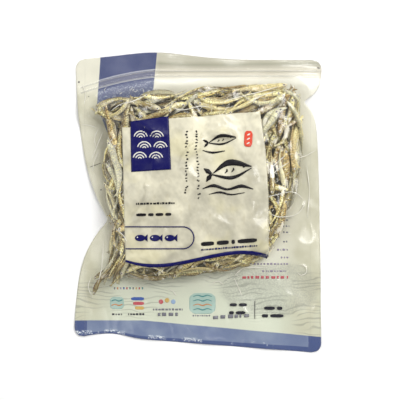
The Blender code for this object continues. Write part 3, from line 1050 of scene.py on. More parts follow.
class Recipe:
    """A material's nodes, each added by one method."""

    def __init__(self, name):
        self.material = bpy.data.materials.new(name)
        self.material.use_nodes = True
        self.tree = self.material.node_tree
        self.tree.nodes.clear()

    def add(self, kind, settings, sockets, out=0):
        """Adds a node with its settings and then its sockets, and gives one of its outputs."""
        node = self.tree.nodes.new("ShaderNode" + kind)
        for name, value in settings.items():
            if name == "stops":
                self.set_stops(node.color_ramp, value)
            else:
                setattr(node, name, value)
        for name, value in sockets.items():
            if isinstance(value, Wire):
                self.tree.links.new(value.socket, node.inputs[name])
            else:
                node.inputs[name].default_value = value
        return Wire(self, node.outputs[out]) if node.outputs else None

    def set_stops(self, ramp, stops):
        """Gives a colour ramp its stops."""
        ramp.elements.remove(ramp.elements[-1])
        ramp.elements[0].position = stops[0][0]
        ramp.elements[0].color = (*stops[0][1], 1.0)
        for position, colour in stops[1:]:
            ramp.elements.new(position).color = (*colour, 1.0)

    def number(self, operation, *values):
        """A Math node."""
        return self.add("Math", {"operation": operation}, dict(enumerate(values)))

    def mix(self, share, first, second):
        """A colour between two colours."""
        sockets = {0: share, 6: opaque(first), 7: opaque(second)}
        return self.add("Mix", {"data_type": "RGBA"}, sockets, 2)

    def eased(self, value, low, high):
        """A value eased from 0 to 1 between two levels."""
        settings = {"interpolation_type": "SMOOTHSTEP"}
        return self.add("MapRange", settings, {0: value, 1: low, 2: high, 3: 0.0, 4: 1.0})

    def noise(self, place, scale, detail=2.0, roughness=0.5):
        """Noise from about 0 to 1."""
        sockets = {"Vector": place, "Scale": scale, "Detail": detail, "Roughness": roughness}
        return self.add("TexNoise", {}, sockets)

    def place(self, stretch=(1.0, 1.0, 1.0)):
        """Object coordinates, stretched along each axis."""
        base = self.add("TexCoord", {}, {}, 3)
        return self.add("Mapping", {}, {"Vector": base, "Scale": stretch})

    def drawing(self):
        """X and Y in the pouch's drawing frame, in millimetres."""
        base = self.add("TexCoord", {}, {}, 3)
        x = self.add("SeparateXYZ", {}, {0: base})
        return x * 1000.0 + MIDDLE[0] / MM, x.other(1) * 1000.0 + MIDDLE[1] / MM

    def bump(self, height, distance, strength=1.0):
        """A normal bent by a height."""
        sockets = {"Height": height, "Distance": distance, "Strength": strength}
        return self.add("Bump", {}, sockets)

    def finish(self, sockets):
        """Ends the material in one Principled shader."""
        shader = self.add("BsdfPrincipled", {}, sockets)
        self.add("OutputMaterial", {}, {"Surface": shader})
        return self.material


def opaque(colour):
    """A colour with its alpha, or a wire as it is."""
    return colour if isinstance(colour, Wire) else (*tuple(colour)[:3], 1.0)


def display_colour(red, green, blue):
    """Scene values of a colour given as 0 to 255 on a display."""
    return tuple((part / 255) ** 2.2 for part in (red, green, blue))


def dimmed(colour, share):
    """A colour darkened to a share of its brightness."""
    return tuple(share * part for part in colour)


def colour_setting(name, description, display):
    """A colour that a user may change."""
    return FloatVectorProperty(
        name=name,
        description=description,
        subtype="COLOR",
        size=3,
        min=0.0,
        max=1.0,
        default=display_colour(*display),
    )


def length_setting(name, description, default):
    """A length that a user may change."""
    return FloatProperty(
        name=name,
        description=description,
        default=default,
        min=0.0,
        subtype="DISTANCE",
        unit="LENGTH",
    )


class PouchSizes(bpy.types.PropertyGroup):
    """Sizes of the pouch's filling and print."""

    block_thickness: length_setting(
        "Packed thickness", "Thickness of the packed fish at their middle", 27 * MM
    )
    bed_depth: length_setting("Fish layer", "Depth of the loose fish over the dark core", 12.5 * MM)
    shortest_fish: length_setting("Shortest fish", "Length of the shortest fish", 34 * MM)
    longest_fish: length_setting("Longest fish", "Length of the longest fish", 46 * MM)
    fish_count: IntProperty(name="Fish", description="Number of loose fish", default=430, min=1)
    print_lift: length_setting("Print lift", "Height of the print over the film", 0.17 * MM)


class PouchColours(bpy.types.PropertyGroup):
    """Colours of the pouch, its print and its fish."""

    back_film: colour_setting("Back film", "Pearl film behind the fish", (241, 238, 219))
    blue_band: colour_setting("Blue bands", "Bands printed on the back film", (54, 78, 138))
    panel: colour_setting("Panel", "White printed panel", (239, 233, 206))
    navy: colour_setting("Navy ink", "Block, wave and lines on the panel", (6, 4, 84))
    brush: colour_setting("Brush ink", "Brush strokes on the panel", (24, 21, 26))
    pill_red: colour_setting("Red pill", "Small pill beside the strokes", (214, 72, 48))
    fish_back: colour_setting("Fish backs", "Dark back of each fish", (78, 64, 38))
    fish_flank: colour_setting("Fish flanks", "Upper flank of each fish", (204, 178, 86))
    fish_silver: colour_setting("Fish silver", "Silver stripe and gill cover", (255, 249, 180))
    fish_belly: colour_setting("Fish bellies", "Belly of each fish", (254, 230, 126))
    floor: colour_setting("Floor", "Floor below the pouch", (254, 254, 254))


def fish_skin_material():
    """Skin from dark back over brassy flank and silver stripe to cream belly, with painted shade on
    deeper fish and towards the block's lower end, and painted glints and glare.
    """
    colours = bpy.context.scene.pouch_colours
    recipe = Recipe("Dried anchovy skin")
    laid = recipe.add("UVMap", {"uv_map": "along_and_round"}, {})
    along = recipe.add("SeparateXYZ", {}, {0: laid})
    height = abs(along.other(1) * 2.0 - 1.0)
    tone = recipe.add("Attribute", {"attribute_name": "tone"}, {}, 2)
    shift = recipe.add("Attribute", {"attribute_name": "shift"}, {}, 2)
    under = recipe.add("Attribute", {"attribute_name": "under"}, {}, 2)
    streaks = recipe.noise(recipe.add("Mapping", {}, {"Vector": laid, "Scale": (9.0, 5.0, 1.0)}), 1.0)
    place = recipe.place()
    mottle = recipe.noise(place, 430.0, 3.0, 0.6)
    specks = recipe.noise(place, 1000.0, 2.0, 0.5)
    blotch = recipe.noise(place, 130.0, 2.0)
    level = height + (mottle - 0.5) * 0.2 + (blotch - 0.5) * 0.3 + (shift - 0.5) * 0.2
    stops = [
        (0.0, colours.fish_belly),
        (0.10, display_colour(226, 194, 100)),
        (0.20, display_colour(158, 132, 70)),
        (0.29, colours.fish_silver),
        (0.43, colours.fish_silver),
        (0.52, colours.fish_flank),
        (0.70, display_colour(122, 104, 56)),
        (0.90, colours.fish_back),
    ]
    skin = recipe.add("ValToRGB", {"stops": stops}, {0: level})
    gill = recipe.eased(along, 0.235, 0.19)
    head = recipe.mix(gill * 0.7 * recipe.eased(level, 0.85, 0.6), skin, colours.fish_silver)
    snout = recipe.mix(recipe.eased(along, 0.05, 0.0) * 0.7, head, display_colour(136, 110, 62))
    slit = 1.0 - recipe.eased(abs(along - 0.222), 0.004, 0.014)
    gilled = recipe.mix(slit * 0.8, snout, display_colour(66, 56, 34))
    tail = recipe.mix(recipe.eased(along, 0.90, 0.97) * 0.85, gilled, display_colour(190, 166, 96))
    gold = recipe.mix(recipe.eased(blotch, 0.52, 0.68) * 0.5, tail, display_colour(204, 172, 76))
    amber = recipe.mix(recipe.eased(shift, 0.78, 0.9) * 0.4, gold, display_colour(214, 158, 70))
    ribs = recipe.number("SINE", along * 150.0 + height * 7.0 + streaks * 3.0)
    ribbed = recipe.eased(ribs, 0.0, 0.9) * recipe.eased(shift, 0.35, 0.5)
    ribbed = ribbed * recipe.eased(abs(level - 0.6), 0.32, 0.2) * recipe.eased(along, 0.24, 0.28)
    barred = recipe.mix(ribbed * 0.75, amber, display_colour(70, 56, 34))
    dark = recipe.mix(recipe.eased(mottle, 0.52, 0.62) * 0.66, barred, display_colour(70, 56, 36))
    specked = recipe.mix(recipe.eased(specks, 0.54, 0.62) * 0.58, dark, display_colour(60, 48, 32))
    # Painted glints: pale specks on the skin
    glint = recipe.mix(recipe.eased(specks, 0.46, 0.38) * 0.6, specked, display_colour(255, 241, 178))
    silvery = recipe.eased(abs(shift - 0.56), 0.09, 0.06) * 0.5
    glint = recipe.mix(silvery, glint, display_colour(222, 224, 200))
    glint = recipe.mix(recipe.eased(shift, 0.16, 0.12) * 0.55, glint, display_colour(108, 80, 44))
    pale = recipe.mix(recipe.eased(tone, 0.6, 1.0) * 0.45, glint, display_colour(252, 239, 178))
    shade = recipe.mix(recipe.eased(tone, 0.35, 0.0) * 0.5, pale, display_colour(102, 84, 50))
    # Painted shade: fish that lie deeper in the pile are darkened
    shade = recipe.mix(recipe.eased(under, 0.22, 1.0) * 0.9, shade, display_colour(44, 34, 20))
    x, y = recipe.drawing()
    # Painted shade: fish darkened towards the block's lower end, under the sloping film
    shade = recipe.mix(recipe.eased(y, -44.0, -56.0) * 0.3, shade, display_colour(84, 72, 52))
    # Painted glare: pale patches on the uppermost fish, stronger towards the right
    painted_glare = recipe.eased(recipe.noise(place, 95.0, 2.0), 0.57, 0.66) * recipe.eased(under, 0.5, 0.1)
    painted_glare = painted_glare * (recipe.eased(x, 46.0, 58.0) * 0.5 + 0.3)
    shade = recipe.mix(painted_glare, shade, display_colour(255, 250, 232))
    silver = recipe.eased(abs(level - 0.36), 0.14, 0.05).most(gill * 0.8)
    segments = recipe.number("SINE", along * 230.0 + height * 9.0)
    relief = segments * 0.25 + mottle * 0.9 + streaks * 0.8 + specks * 0.5
    return recipe.finish(
        {
            "Base Color": shade,
            "Metallic": silver * 0.25,
            "Roughness": 0.48 - silver * 0.14 + (mottle - 0.5) * 0.25,
            "Specular IOR Level": 0.4,
            "Coat Weight": 0.12,
            "Coat Roughness": 0.2,
            "Normal": recipe.bump(relief, 0.28 * MM, 0.9),
        }
    )


def eye_ring_material():
    """Pale dried ring of an eye."""
    recipe = Recipe("Anchovy eye ring")
    spots = recipe.noise(recipe.place(), 900.0)
    colour = recipe.mix(recipe.eased(spots, 0.35, 0.7), (0.86, 0.82, 0.70), (0.58, 0.50, 0.36))
    return recipe.finish({"Base Color": colour, "Roughness": 0.35, "Coat Weight": 0.4})


def pupil_material():
    """Dark pupil of an eye."""
    recipe = Recipe("Anchovy pupil")
    spots = recipe.noise(recipe.place(), 1100.0)
    colour = recipe.mix(spots, (0.015, 0.012, 0.012), (0.06, 0.05, 0.05))
    return recipe.finish({"Base Color": colour, "Roughness": 0.2, "Coat Weight": 0.6})


def core_material():
    """Fish below the loose ones: their colours painted dark as shade towards the top, and a lighter,
    lit copy lower down on the block's sides.
    """
    recipe = Recipe("Shaded anchovies")
    spread = recipe.noise(recipe.place((0.4, 0.4, 2.2)), 170.0, 3.0, 0.6)
    ramp = [(0.34, (0.04, 0.03, 0.02)), (0.5, (0.13, 0.10, 0.06)), (0.58, (0.42, 0.35, 0.20))]
    shaded = recipe.add("ValToRGB", {"stops": ramp}, {0: spread})
    rows = [(0.32, (0.16, 0.13, 0.07)), (0.42, (0.55, 0.46, 0.26)), (0.56, (0.92, 0.82, 0.54))]
    lit = recipe.add("ValToRGB", {"stops": rows}, {0: spread})
    height = recipe.add("SeparateXYZ", {}, {0: recipe.place()}).other(2)
    # Painted shade: the dark copy near the top, the lit copy lower down
    colour = recipe.mix(recipe.eased(height, 20 * MM, 13 * MM), shaded, lit)
    return recipe.finish(
        {"Base Color": colour, "Roughness": 0.7, "Normal": recipe.bump(spread, 1.2 * MM)}
    )


# Painted light and shade of the film's upper end, in bands from below the zip to the top: a painted
# highlight just below the zip and painted shade of the folds above it
HEADER_LIGHT_AND_SHADE = [
    (0.0, display_colour(232, 230, 212)),
    (0.14, display_colour(252, 251, 236)),
    (0.30, display_colour(252, 251, 238)),
    (0.37, display_colour(236, 231, 212)),
    (0.49, display_colour(210, 204, 184)),
    (0.56, display_colour(180, 174, 154)),
    (0.62, display_colour(212, 206, 186)),
    (0.70, display_colour(182, 177, 158)),
    (0.76, display_colour(166, 162, 143)),
    (0.82, display_colour(146, 145, 124)),
    (0.88, display_colour(166, 163, 142)),
    (0.95, display_colour(184, 181, 162)),
]


def back_film_material():
    """Pearl film with blue bands at its upper left and lower end, and grey grain below, with painted
    light and shade at its upper end, painted shade at its sides and on a crumpled patch, and painted
    glints.
    """
    colours = bpy.context.scene.pouch_colours
    recipe = Recipe("Printed pearl film")
    x, y = recipe.drawing()
    cloud = recipe.noise(recipe.place(), 26.0, 3.0, 0.55)
    fleck = recipe.noise(recipe.place((1.0, 0.35, 1.0)), 900.0, 2.0)
    sparkle = recipe.noise(recipe.place(), 1150.0, 2.0, 0.6)
    hazy = recipe.eased(recipe.noise(recipe.place(), 60.0, 3.0), 0.35, 0.7)
    pearl = recipe.mix(
        recipe.eased(cloud, 0.3, 0.72), dimmed(colours.back_film, 0.86), colours.back_film
    )
    pearl = recipe.mix(recipe.eased(y, -20.0, -85.0) * 0.75, pearl, display_colour(208, 216, 193))
    # Painted shade: the side margins darkened, except at the upper right where the light falls
    beside = recipe.eased(abs(x), 62.0, 82.0) * recipe.eased(y, 94.0, 84.0)
    beside = beside * (1.0 - recipe.eased(x, 40.0, 80.0) * recipe.eased(y, 40.0, 70.0) * 0.95)
    pearl = recipe.mix(beside * (0.55 + hazy * 0.35), pearl, display_colour(196, 193, 166))
    sag = ((ZIP_SAG_START / MM - x) / (ZIP_SAG_LENGTH / MM)).most(0.0) ** 1.5
    above = y - ZIP_LEVEL / MM + sag * (ZIP_SAG / MM)
    wobble = recipe.noise(recipe.place((0.25, 1.0, 1.0)), 70.0, 2.0) * 3.0 - 1.5
    # Painted highlight and shade in bands across the upper end
    header = recipe.add("ValToRGB", {"stops": HEADER_LIGHT_AND_SHADE}, {0: (above + wobble + 12.0) / 24.0})
    striped = recipe.eased(above, -11.0, -7.0) * recipe.eased(x, -40.0, -30.0)
    pearl = recipe.mix(striped * 0.85, pearl, header)
    slanting_left = (-78.7 - (114.0 - y) * 0.068).most(-82.0 + (80.0 - y) * 0.4)
    upper = recipe.eased(x - slanting_left, -0.3, 0.3)
    upper = upper * recipe.eased(-32.9 - (119.7 - y) * 0.098 - x, -0.3, 0.3)
    upper = upper * recipe.eased(y, 50.0, 52.0)
    blue = colours.blue_band
    pale_blue = tuple(0.55 * part + 0.45 * haze for part, haze in zip(blue, (0.5, 0.52, 0.54)))
    below = recipe.eased(above, -3.0, -6.0)
    deep_blue = 0.30 * blue[0], 0.40 * blue[1], 0.62 * blue[2]
    band = recipe.mix(hazy * 0.12 + below * 0.4, deep_blue, pale_blue)
    # The zip's tracks on the band: a grey milky band, and pale lines that are partly the milky zip and
    # partly painted highlight
    rail = 1.0 - recipe.eased(abs(abs(above - 0.4) - 3.2), 0.15, 0.6)
    band = recipe.mix(recipe.eased(abs(above), 3.6, 2.6) * 0.28, band, display_colour(170, 168, 168))
    band = recipe.mix(rail * 0.5, band, display_colour(226, 228, 226))
    # Painted glints on the band below the zip
    painted_band_glints = recipe.eased(sparkle, 0.56, 0.66) * below
    band = recipe.mix(painted_band_glints * 0.6, band, display_colour(214, 224, 236))
    printed = recipe.mix(upper * 0.95, pearl, band)
    lower = recipe.eased(-94.8 - (x + 45.0).most(0.0) * 0.092 - y, -0.3, 0.3)
    hump = (x - BOTTOM_CREST[0] / MM) / (BOTTOM_CREST[2] / MM)
    hump = recipe.number("EXPONENT", hump * hump * -1.0) * (BOTTOM_CREST[1] / MM)
    over_end = y - BOTTOM_EDGE / MM - x * BOTTOM_SLOPE - hump - (x + 100.0) * 0.013 - 1.6
    deep = recipe.eased(over_end, 0.5, -0.3).most(recipe.eased(abs(x), 88.8, 90.0))
    faded = recipe.mix(hazy * 0.14 + 0.22, blue, display_colour(186, 200, 206))
    lower_band = recipe.mix(deep, faded, dimmed(blue, 0.85))
    # Painted glints: pale specks along the lower band's edge
    painted_edge_glints = recipe.eased(abs(over_end), 2.2, 0.4) * recipe.eased(hazy, 0.62, 0.8)
    painted_edge_glints = painted_edge_glints * recipe.eased(sparkle, 0.5, 0.56)
    lower_band = recipe.mix(painted_edge_glints, lower_band, display_colour(238, 246, 250))
    printed = recipe.mix(lower * 0.97, printed, lower_band)
    # Painted shade: a grey mottled patch where the film is crumpled at the lower right
    across = (x - 60.0) / 40.0
    up = (y + 70.0) / 22.0
    painted_crumple_shade = recipe.eased(across * across + up * up + (cloud - 0.5) * 2.0, 1.25, 0.7)
    mottle = recipe.eased(sparkle, 0.44, 0.56)
    printed = recipe.mix(painted_crumple_shade * (0.2 + mottle * 0.35), printed, display_colour(158, 160, 148))
    drift = recipe.noise(recipe.place((0.5, 1.0, 1.0)), 60.0, 2.0)
    thick = recipe.noise(recipe.place((0.3, 1.0, 1.0)), 130.0, 2.0)
    lines = recipe.number("SINE", (y + drift * 17.0) * 1.9)
    patches = recipe.eased(recipe.noise(recipe.place((0.6, 1.6, 1.0)), 38.0, 1.0), 0.40, 0.52)
    grain = recipe.eased(lines + (thick - 0.5) * 1.2, 0.45, 0.95) * patches
    by_sides = recipe.eased(y * 0.6 + abs(x) * 0.5, -38.0, -30.0)
    grain = grain * recipe.eased(y, -50.0, -62.0).least(by_sides)
    printed = recipe.mix(grain * (1.0 - lower) * 0.4, printed, display_colour(120, 122, 112))
    side_gap = 98.0 - abs(x)
    seam = recipe.eased(abs(side_gap - 7.0), 0.5, 0.15) * recipe.eased(abs(y), 114.0, 104.0)
    printed = recipe.mix(seam * 0.12, printed, display_colour(150, 150, 134))
    knurl = recipe.number("SINE", (x + y) * 7.0) * recipe.number("SINE", (x - y) * 7.0)
    return recipe.finish(
        {
            "Base Color": printed,
            "Roughness": 0.36 + (fleck - 0.5) * 0.2,
            "Specular IOR Level": 0.3,
            "Coat Weight": 0.22,
            "Coat Roughness": 0.12,
            "Normal": recipe.bump(knurl * 0.2 + fleck * 0.6 + cloud, 0.12 * MM, 0.7),
        }
    )


def clear_film_material():
    """Clear glossy film with fine wrinkles."""
    recipe = Recipe("Clear glossy film")
    fine = recipe.noise(recipe.place((1.0, 0.6, 1.0)), 330.0, 3.0, 0.6)
    broad = recipe.noise(recipe.place(), 90.0, 2.0)
    return recipe.finish(
        {
            "Base Color": (1.0, 0.99, 0.96, 1.0),
            "Metallic": 1.0,
            "Roughness": 0.14 + broad * 0.16,
            "Alpha": 0.032,
            "Normal": recipe.bump(fine * 0.5 + broad, 0.16 * MM, 0.6),
        }
    )


def panel_material():
    """Pearl white print with painted sheen and shade from its wrinkles, darker towards its lower end,
    and faint painted shadows of the fish showing through.
    """
    colours = bpy.context.scene.pouch_colours
    recipe = Recipe("Pearl white panel")
    _, y = recipe.drawing()
    cloud = recipe.noise(recipe.place(), 52.0, 3.0, 0.6)
    slanted = {"Vector": recipe.place(), "Rotation": (0.0, 0.0, -1.0), "Scale": (2.2, 1.0, 1.0)}
    fold = recipe.noise(recipe.add("Mapping", {"vector_type": "TEXTURE"}, slanted), 74.0, 3.0, 0.55)
    show = recipe.noise(recipe.place((1.0, 0.6, 1.0)), 210.0, 2.0)
    # Painted sheen and shade: cloudy wrinkles, and darker towards the panel's lower end
    level = cloud * 0.6 + fold * 0.4 + (y - 25.0) * 0.0013
    light = colours.panel
    stops = [
        (0.34, dimmed(light, 0.50)),
        (0.43, dimmed(light, 0.62)),
        (0.50, dimmed(light, 0.74)),
        (0.60, dimmed(light, 0.90)),
        (0.68, light),
    ]
    painted_sheen_and_shade = recipe.add("ValToRGB", {"stops": stops}, {0: level})
    # Painted shadow of the fish below, where they show through the print
    colour = recipe.mix(recipe.eased(show, 0.54, 0.75) * 0.3, painted_sheen_and_shade, display_colour(168, 158, 128))
    blush = recipe.eased(recipe.noise(recipe.place((0.8, 1.0, 1.0)), 38.0, 2.0), 0.5, 0.66)
    colour = recipe.mix(blush * 0.3, colour, display_colour(238, 228, 170))
    return recipe.finish(
        {
            "Base Color": colour,
            "Roughness": 0.42 + (cloud - 0.5) * 0.15,
            "Coat Weight": 0.5,
            "Coat Roughness": 0.12,
            "Normal": recipe.bump(cloud * 0.8 + fold * 1.6 + show * 0.4, 0.45 * MM, 0.8),
        }
    )


def ink_material(name, colour, worn):
    """Glossy printed ink that is a little uneven."""
    recipe = Recipe(name)
    spread = recipe.noise(recipe.place(), 240.0, 3.0, 0.6)
    pale = tuple(part + worn * (0.7 - part) for part in colour)
    printed = recipe.mix(recipe.eased(spread, 0.45, 0.75), colour, pale)
    return recipe.finish(
        {
            "Base Color": printed,
            "Roughness": 0.42 + (spread - 0.5) * 0.2,
            "Specular IOR Level": 0.2,
            "Coat Weight": 0.08,
            "Coat Roughness": 0.15,
            "Normal": recipe.bump(spread, 0.12 * MM, 0.5),
        }
    )


def whitened_material():
    """Film whitened along a sharp crease, partly stress whitening and partly painted highlight; also
    used for painted glints.
    """
    recipe = Recipe("Whitened crease, painted highlight and glint")
    streak = recipe.noise(recipe.place(), 500.0)
    colour = recipe.mix(streak, display_colour(250, 244, 224), display_colour(255, 255, 248))
    return recipe.finish({"Base Color": colour, "Roughness": 0.3, "Alpha": 0.75})


def zip_material():
    """Milky zip profile."""
    recipe = Recipe("Milky zip plastic")
    streak = recipe.noise(recipe.place((0.15, 1.0, 1.0)), 420.0)
    colour = recipe.mix(streak, (0.86, 0.86, 0.83), (0.97, 0.97, 0.94))
    return recipe.finish(
        {
            "Base Color": colour,
            "Roughness": 0.28 + (streak - 0.5) * 0.2,
            "Alpha": 0.12,
            "Normal": recipe.bump(streak, 0.15 * MM, 0.5),
        }
    )


def floor_material():
    """Smooth pale floor."""
    recipe = Recipe("Pale studio floor")
    tint = recipe.noise(recipe.place(), 3.0)
    floor = bpy.context.scene.pouch_colours.floor
    colour = recipe.mix(tint * 0.03, floor, (0.95, 0.95, 0.95))
    return recipe.finish({"Base Color": colour, "Roughness": 0.75})


# Printed patches, with their cells in millimetres
BLOCK_CELL = 1.6
STROKE_CELL = 1.2
STROKE_POINTS = 64
PILL_GAP = 0.7  # in heights of a pill
INK_SHEET = 0.04 * MM
OVER_STROKE = 0.04 * MM  # lift of a stroke that crosses other ink


def turned(x, y, right, up, turn):
    """A place beside x and y, turned about them."""
    cos, sin = math.cos(turn), math.sin(turn)
    return x + right * cos - up * sin, y + right * sin + up * cos


class PrintSheet:
    """Small flat patches of ink, laid on a film once all of them are drawn."""

    def __init__(self, name, inks):
        self.name = name
        self.inks = inks
        self.bm = bmesh.new()

    def patch(self, place, columns, rows, ink, lift=0.0):
        """A grid of X and Y in millimetres, given by place from 0 to 1 each way."""
        made = bmesh.ops.create_grid(self.bm, x_segments=columns, y_segments=rows, size=0.5)
        verts = made["verts"]
        across = np.array([vert.co.x + 0.5 for vert in verts])
        along = np.array([vert.co.y + 0.5 for vert in verts])
        for vert, x, y in zip(verts, *place(across, along)):
            vert.co = (x * MM, y * MM, lift)
        for face in {face for vert in verts for face in vert.link_faces}:
            face.material_index = self.inks.index(ink)
            face.smooth = True
            face.normal_update()
            if face.normal.z < 0:
                face.normal_flip()

    def quad(self, corners, ink):
        """A patch between four corners: lower left, lower right, upper right, upper left."""
        low_left, low_right, high_right, high_left = (np.array(corner) for corner in corners)
        columns = max(1, round(math.dist(low_left, low_right) / BLOCK_CELL))
        rows = max(1, round(math.dist(low_left, high_left) / BLOCK_CELL))

        def place(u, v):
            """A place between the four corners."""
            u, v = u[:, None], v[:, None]
            low = low_left * (1 - u) + low_right * u
            points = low * (1 - v) + (high_left * (1 - u) + high_right * u) * v
            return points[:, 0], points[:, 1]

        self.patch(place, columns, rows, ink)

    def bar(self, x, y, width, height, ink, slope=0.0):
        """An upright bar from its lower left corner, rising by slope to the right."""
        rise = slope * width
        corners = [(x, y), (x + width, y + rise), (x + width, y + rise + height), (x, y + height)]
        self.quad(corners, ink)

    def quad_line(self, start, end, width, ink):
        """A short straight line between two points."""
        start, end = np.array(start), np.array(end)
        ahead = (end - start) / math.dist(start, end)
        aside = np.array((-ahead[1], ahead[0])) * width / 2
        self.quad([start - aside, end - aside, end + aside, start + aside], ink)

    def ribbon(self, points, widths, ink, lift=0.0):
        """A stroke along a smooth line through points, with its widths along the way."""
        line = smooth_line(np.array(points, dtype=float), STROKE_POINTS)
        columns = max(2, round(np.hypot(*np.diff(line, axis=0).T).sum() / STROKE_CELL))
        rows = max(1, round(max(widths) / BLOCK_CELL))
        along = np.linspace(0, 1, STROKE_POINTS)
        ahead = np.gradient(line, axis=0)
        ahead /= np.linalg.norm(ahead, axis=1, keepdims=True)
        wide = np.interp(along, np.linspace(0, 1, len(widths)), widths)

        def place(u, v):
            """A place along the stroke and across it."""
            x, y = (np.interp(u, along, line[:, axis]) for axis in (0, 1))
            ahead_x, ahead_y = (np.interp(u, along, ahead[:, axis]) for axis in (0, 1))
            out = (v - 0.5) * np.interp(u, along, wide)
            return x - out * ahead_y, y + out * ahead_x

        self.patch(place, columns, rows, ink, lift)

    def disc(self, x, y, across, along, ink, lift=0.0, turn=0.0, power=2, pull=2):
        """A round or oval patch by its middle and its two half widths."""
        cells = max(4, round(2 * max(across, along) / STROKE_CELL))

        def place(u, v):
            """A place of a square whose corners are pulled in."""
            a, b = 2 * u - 1, 2 * v - 1
            right = across * a * np.sqrt(1 - b**power / pull)
            return turned(x, y, right, along * b * np.sqrt(1 - a**power / pull), turn)

        self.patch(place, cells, cells, ink, lift)

    def pebble(self, x, y, across, along, ink, turn=0.0):
        """A rounded oblong by its middle and its two half widths."""
        self.disc(x, y, across, along, ink, 0.0, turn, power=6, pull=3)

    def arc(self, x, y, radius, width, start, end, ink, lift=0.0):
        """Part of a ring from one angle to another, in degrees."""
        start, end = math.radians(start), math.radians(end)
        cells = max(6, round(radius * abs(end - start) / STROKE_CELL))

        def place(u, v):
            """A place along the ring and across it."""
            angle = start + (end - start) * u
            reach = radius + (v - 0.5) * width
            return x + reach * np.cos(angle), y + reach * np.sin(angle)

        self.patch(place, cells, 1, ink, lift)

    def dashes(self, x, y, length, height, ink, draw, slope=0.0, gap=0.35):
        """A row of small plain dashes of uneven length."""
        at = 0.0
        while at < length:
            wide = min(height * draw.uniform(0.45, 1.5), length - at)
            if wide > 0.3 * height:
                tall = height * draw.uniform(0.75, 1.0)
                self.bar(x + at, y + slope * at, wide, tall, ink, slope)
            at += wide + gap * height * draw.uniform(0.8, 1.6)

    def pills(self, x, y, lengths, height, ink, slope=0.0):
        """A row of plain rounded bars."""
        at = 0.0
        for length in lengths:
            middle = at + length / 2
            place = x + middle, y + slope * middle
            self.pebble(*place, length / 2, height / 2, ink, math.atan(slope))
            at += length + PILL_GAP * height

    def lay(self, level, lift):
        """Lays the patches on a film whose height is level and makes them a piece."""
        mesh = mesh_of(self.name, self.bm)
        places = vertex_places(mesh)
        x, y = as_seen(places[:, 0], places[:, 1], level)
        set_places(mesh, np.stack([x, y, places[:, 2] + level(x, y) + lift], axis=1))
        piece = finish_piece(self.name, mesh, [ink_of(ink) for ink in self.inks])
        thicken(piece, INK_SHEET)
        return piece


def thicken(piece, thickness):
    """Gives a sheet its thickness, downwards from its face."""
    modifier = piece.modifiers.new("Thickness", "SOLIDIFY")
    modifier.thickness = thickness
    modifier.offset = -1.0


def smooth_line(points, count):
    """A smooth line through points, as a Catmull-Rom spline."""
    ends = np.vstack([2 * points[0] - points[1], points, 2 * points[-1] - points[-2]])
    at = np.linspace(0, len(points) - 1, count)
    piece = np.minimum(at.astype(int), len(points) - 2)
    share = (at - piece)[:, None]
    a, b, c, d = (ends[piece + step] for step in range(4))
    return 0.5 * (
        2 * b
        + (c - a) * share
        + (2 * a - 5 * b + 4 * c - d) * share**2
        + (3 * b - a - 3 * c + d) * share**3
    )


# Inks whose colours aren't settings: display colour and how worn each is
PLAIN_INKS = {
    "white": ((226, 224, 214), 0.015),
    "grey": ((120, 120, 128), 0.2),
    "black": ((42, 42, 50), 0.015),
    "mauve": ((150, 140, 160), 0.3),
    "teal": ((74, 138, 138), 0.15),
    "mint": ((168, 196, 184), 0.15),
    "orange": ((205, 130, 72), 0.15),
    "blue": ((58, 92, 168), 0.15),
    "rose": ((196, 84, 92), 0.2),
    "ochre": ((208, 172, 92), 0.2),
    "sky": ((150, 176, 208), 0.15),
}


def ink_of(name):
    """The material of an ink, or of a whitened crease."""
    if name == "crease":
        return whitened_material()
    colours = bpy.context.scene.pouch_colours
    set_inks = {
        "navy": (colours.navy, 0.015),
        "brush": (colours.brush, 0.015),
        "red": (colours.pill_red, 0.1),
    }
    if name in set_inks:
        colour, worn = set_inks[name]
    else:
        display, worn = PLAIN_INKS[name]
        colour = display_colour(*display)
    return ink_material(name.capitalize() + " ink", colour, worn)


def as_seen(x, y, level):
    """Where a print lies on a film, given where the photo shows it: what stands higher looks larger."""
    share = 1 - (level(x, y) - VIEW_LEVEL) / CAMERA_DISTANCE
    centre_x, centre_y = VIEW_CENTRE
    return centre_x + (x - centre_x) * share, centre_y + (y - centre_y) * share


def front_level(x, y):
    """Z of the front film."""
    return film_skin().at(x, y)


def back_level(x, y):
    """Z of the back film's upper face."""
    return back_height(x, y) + BACK_SHEET


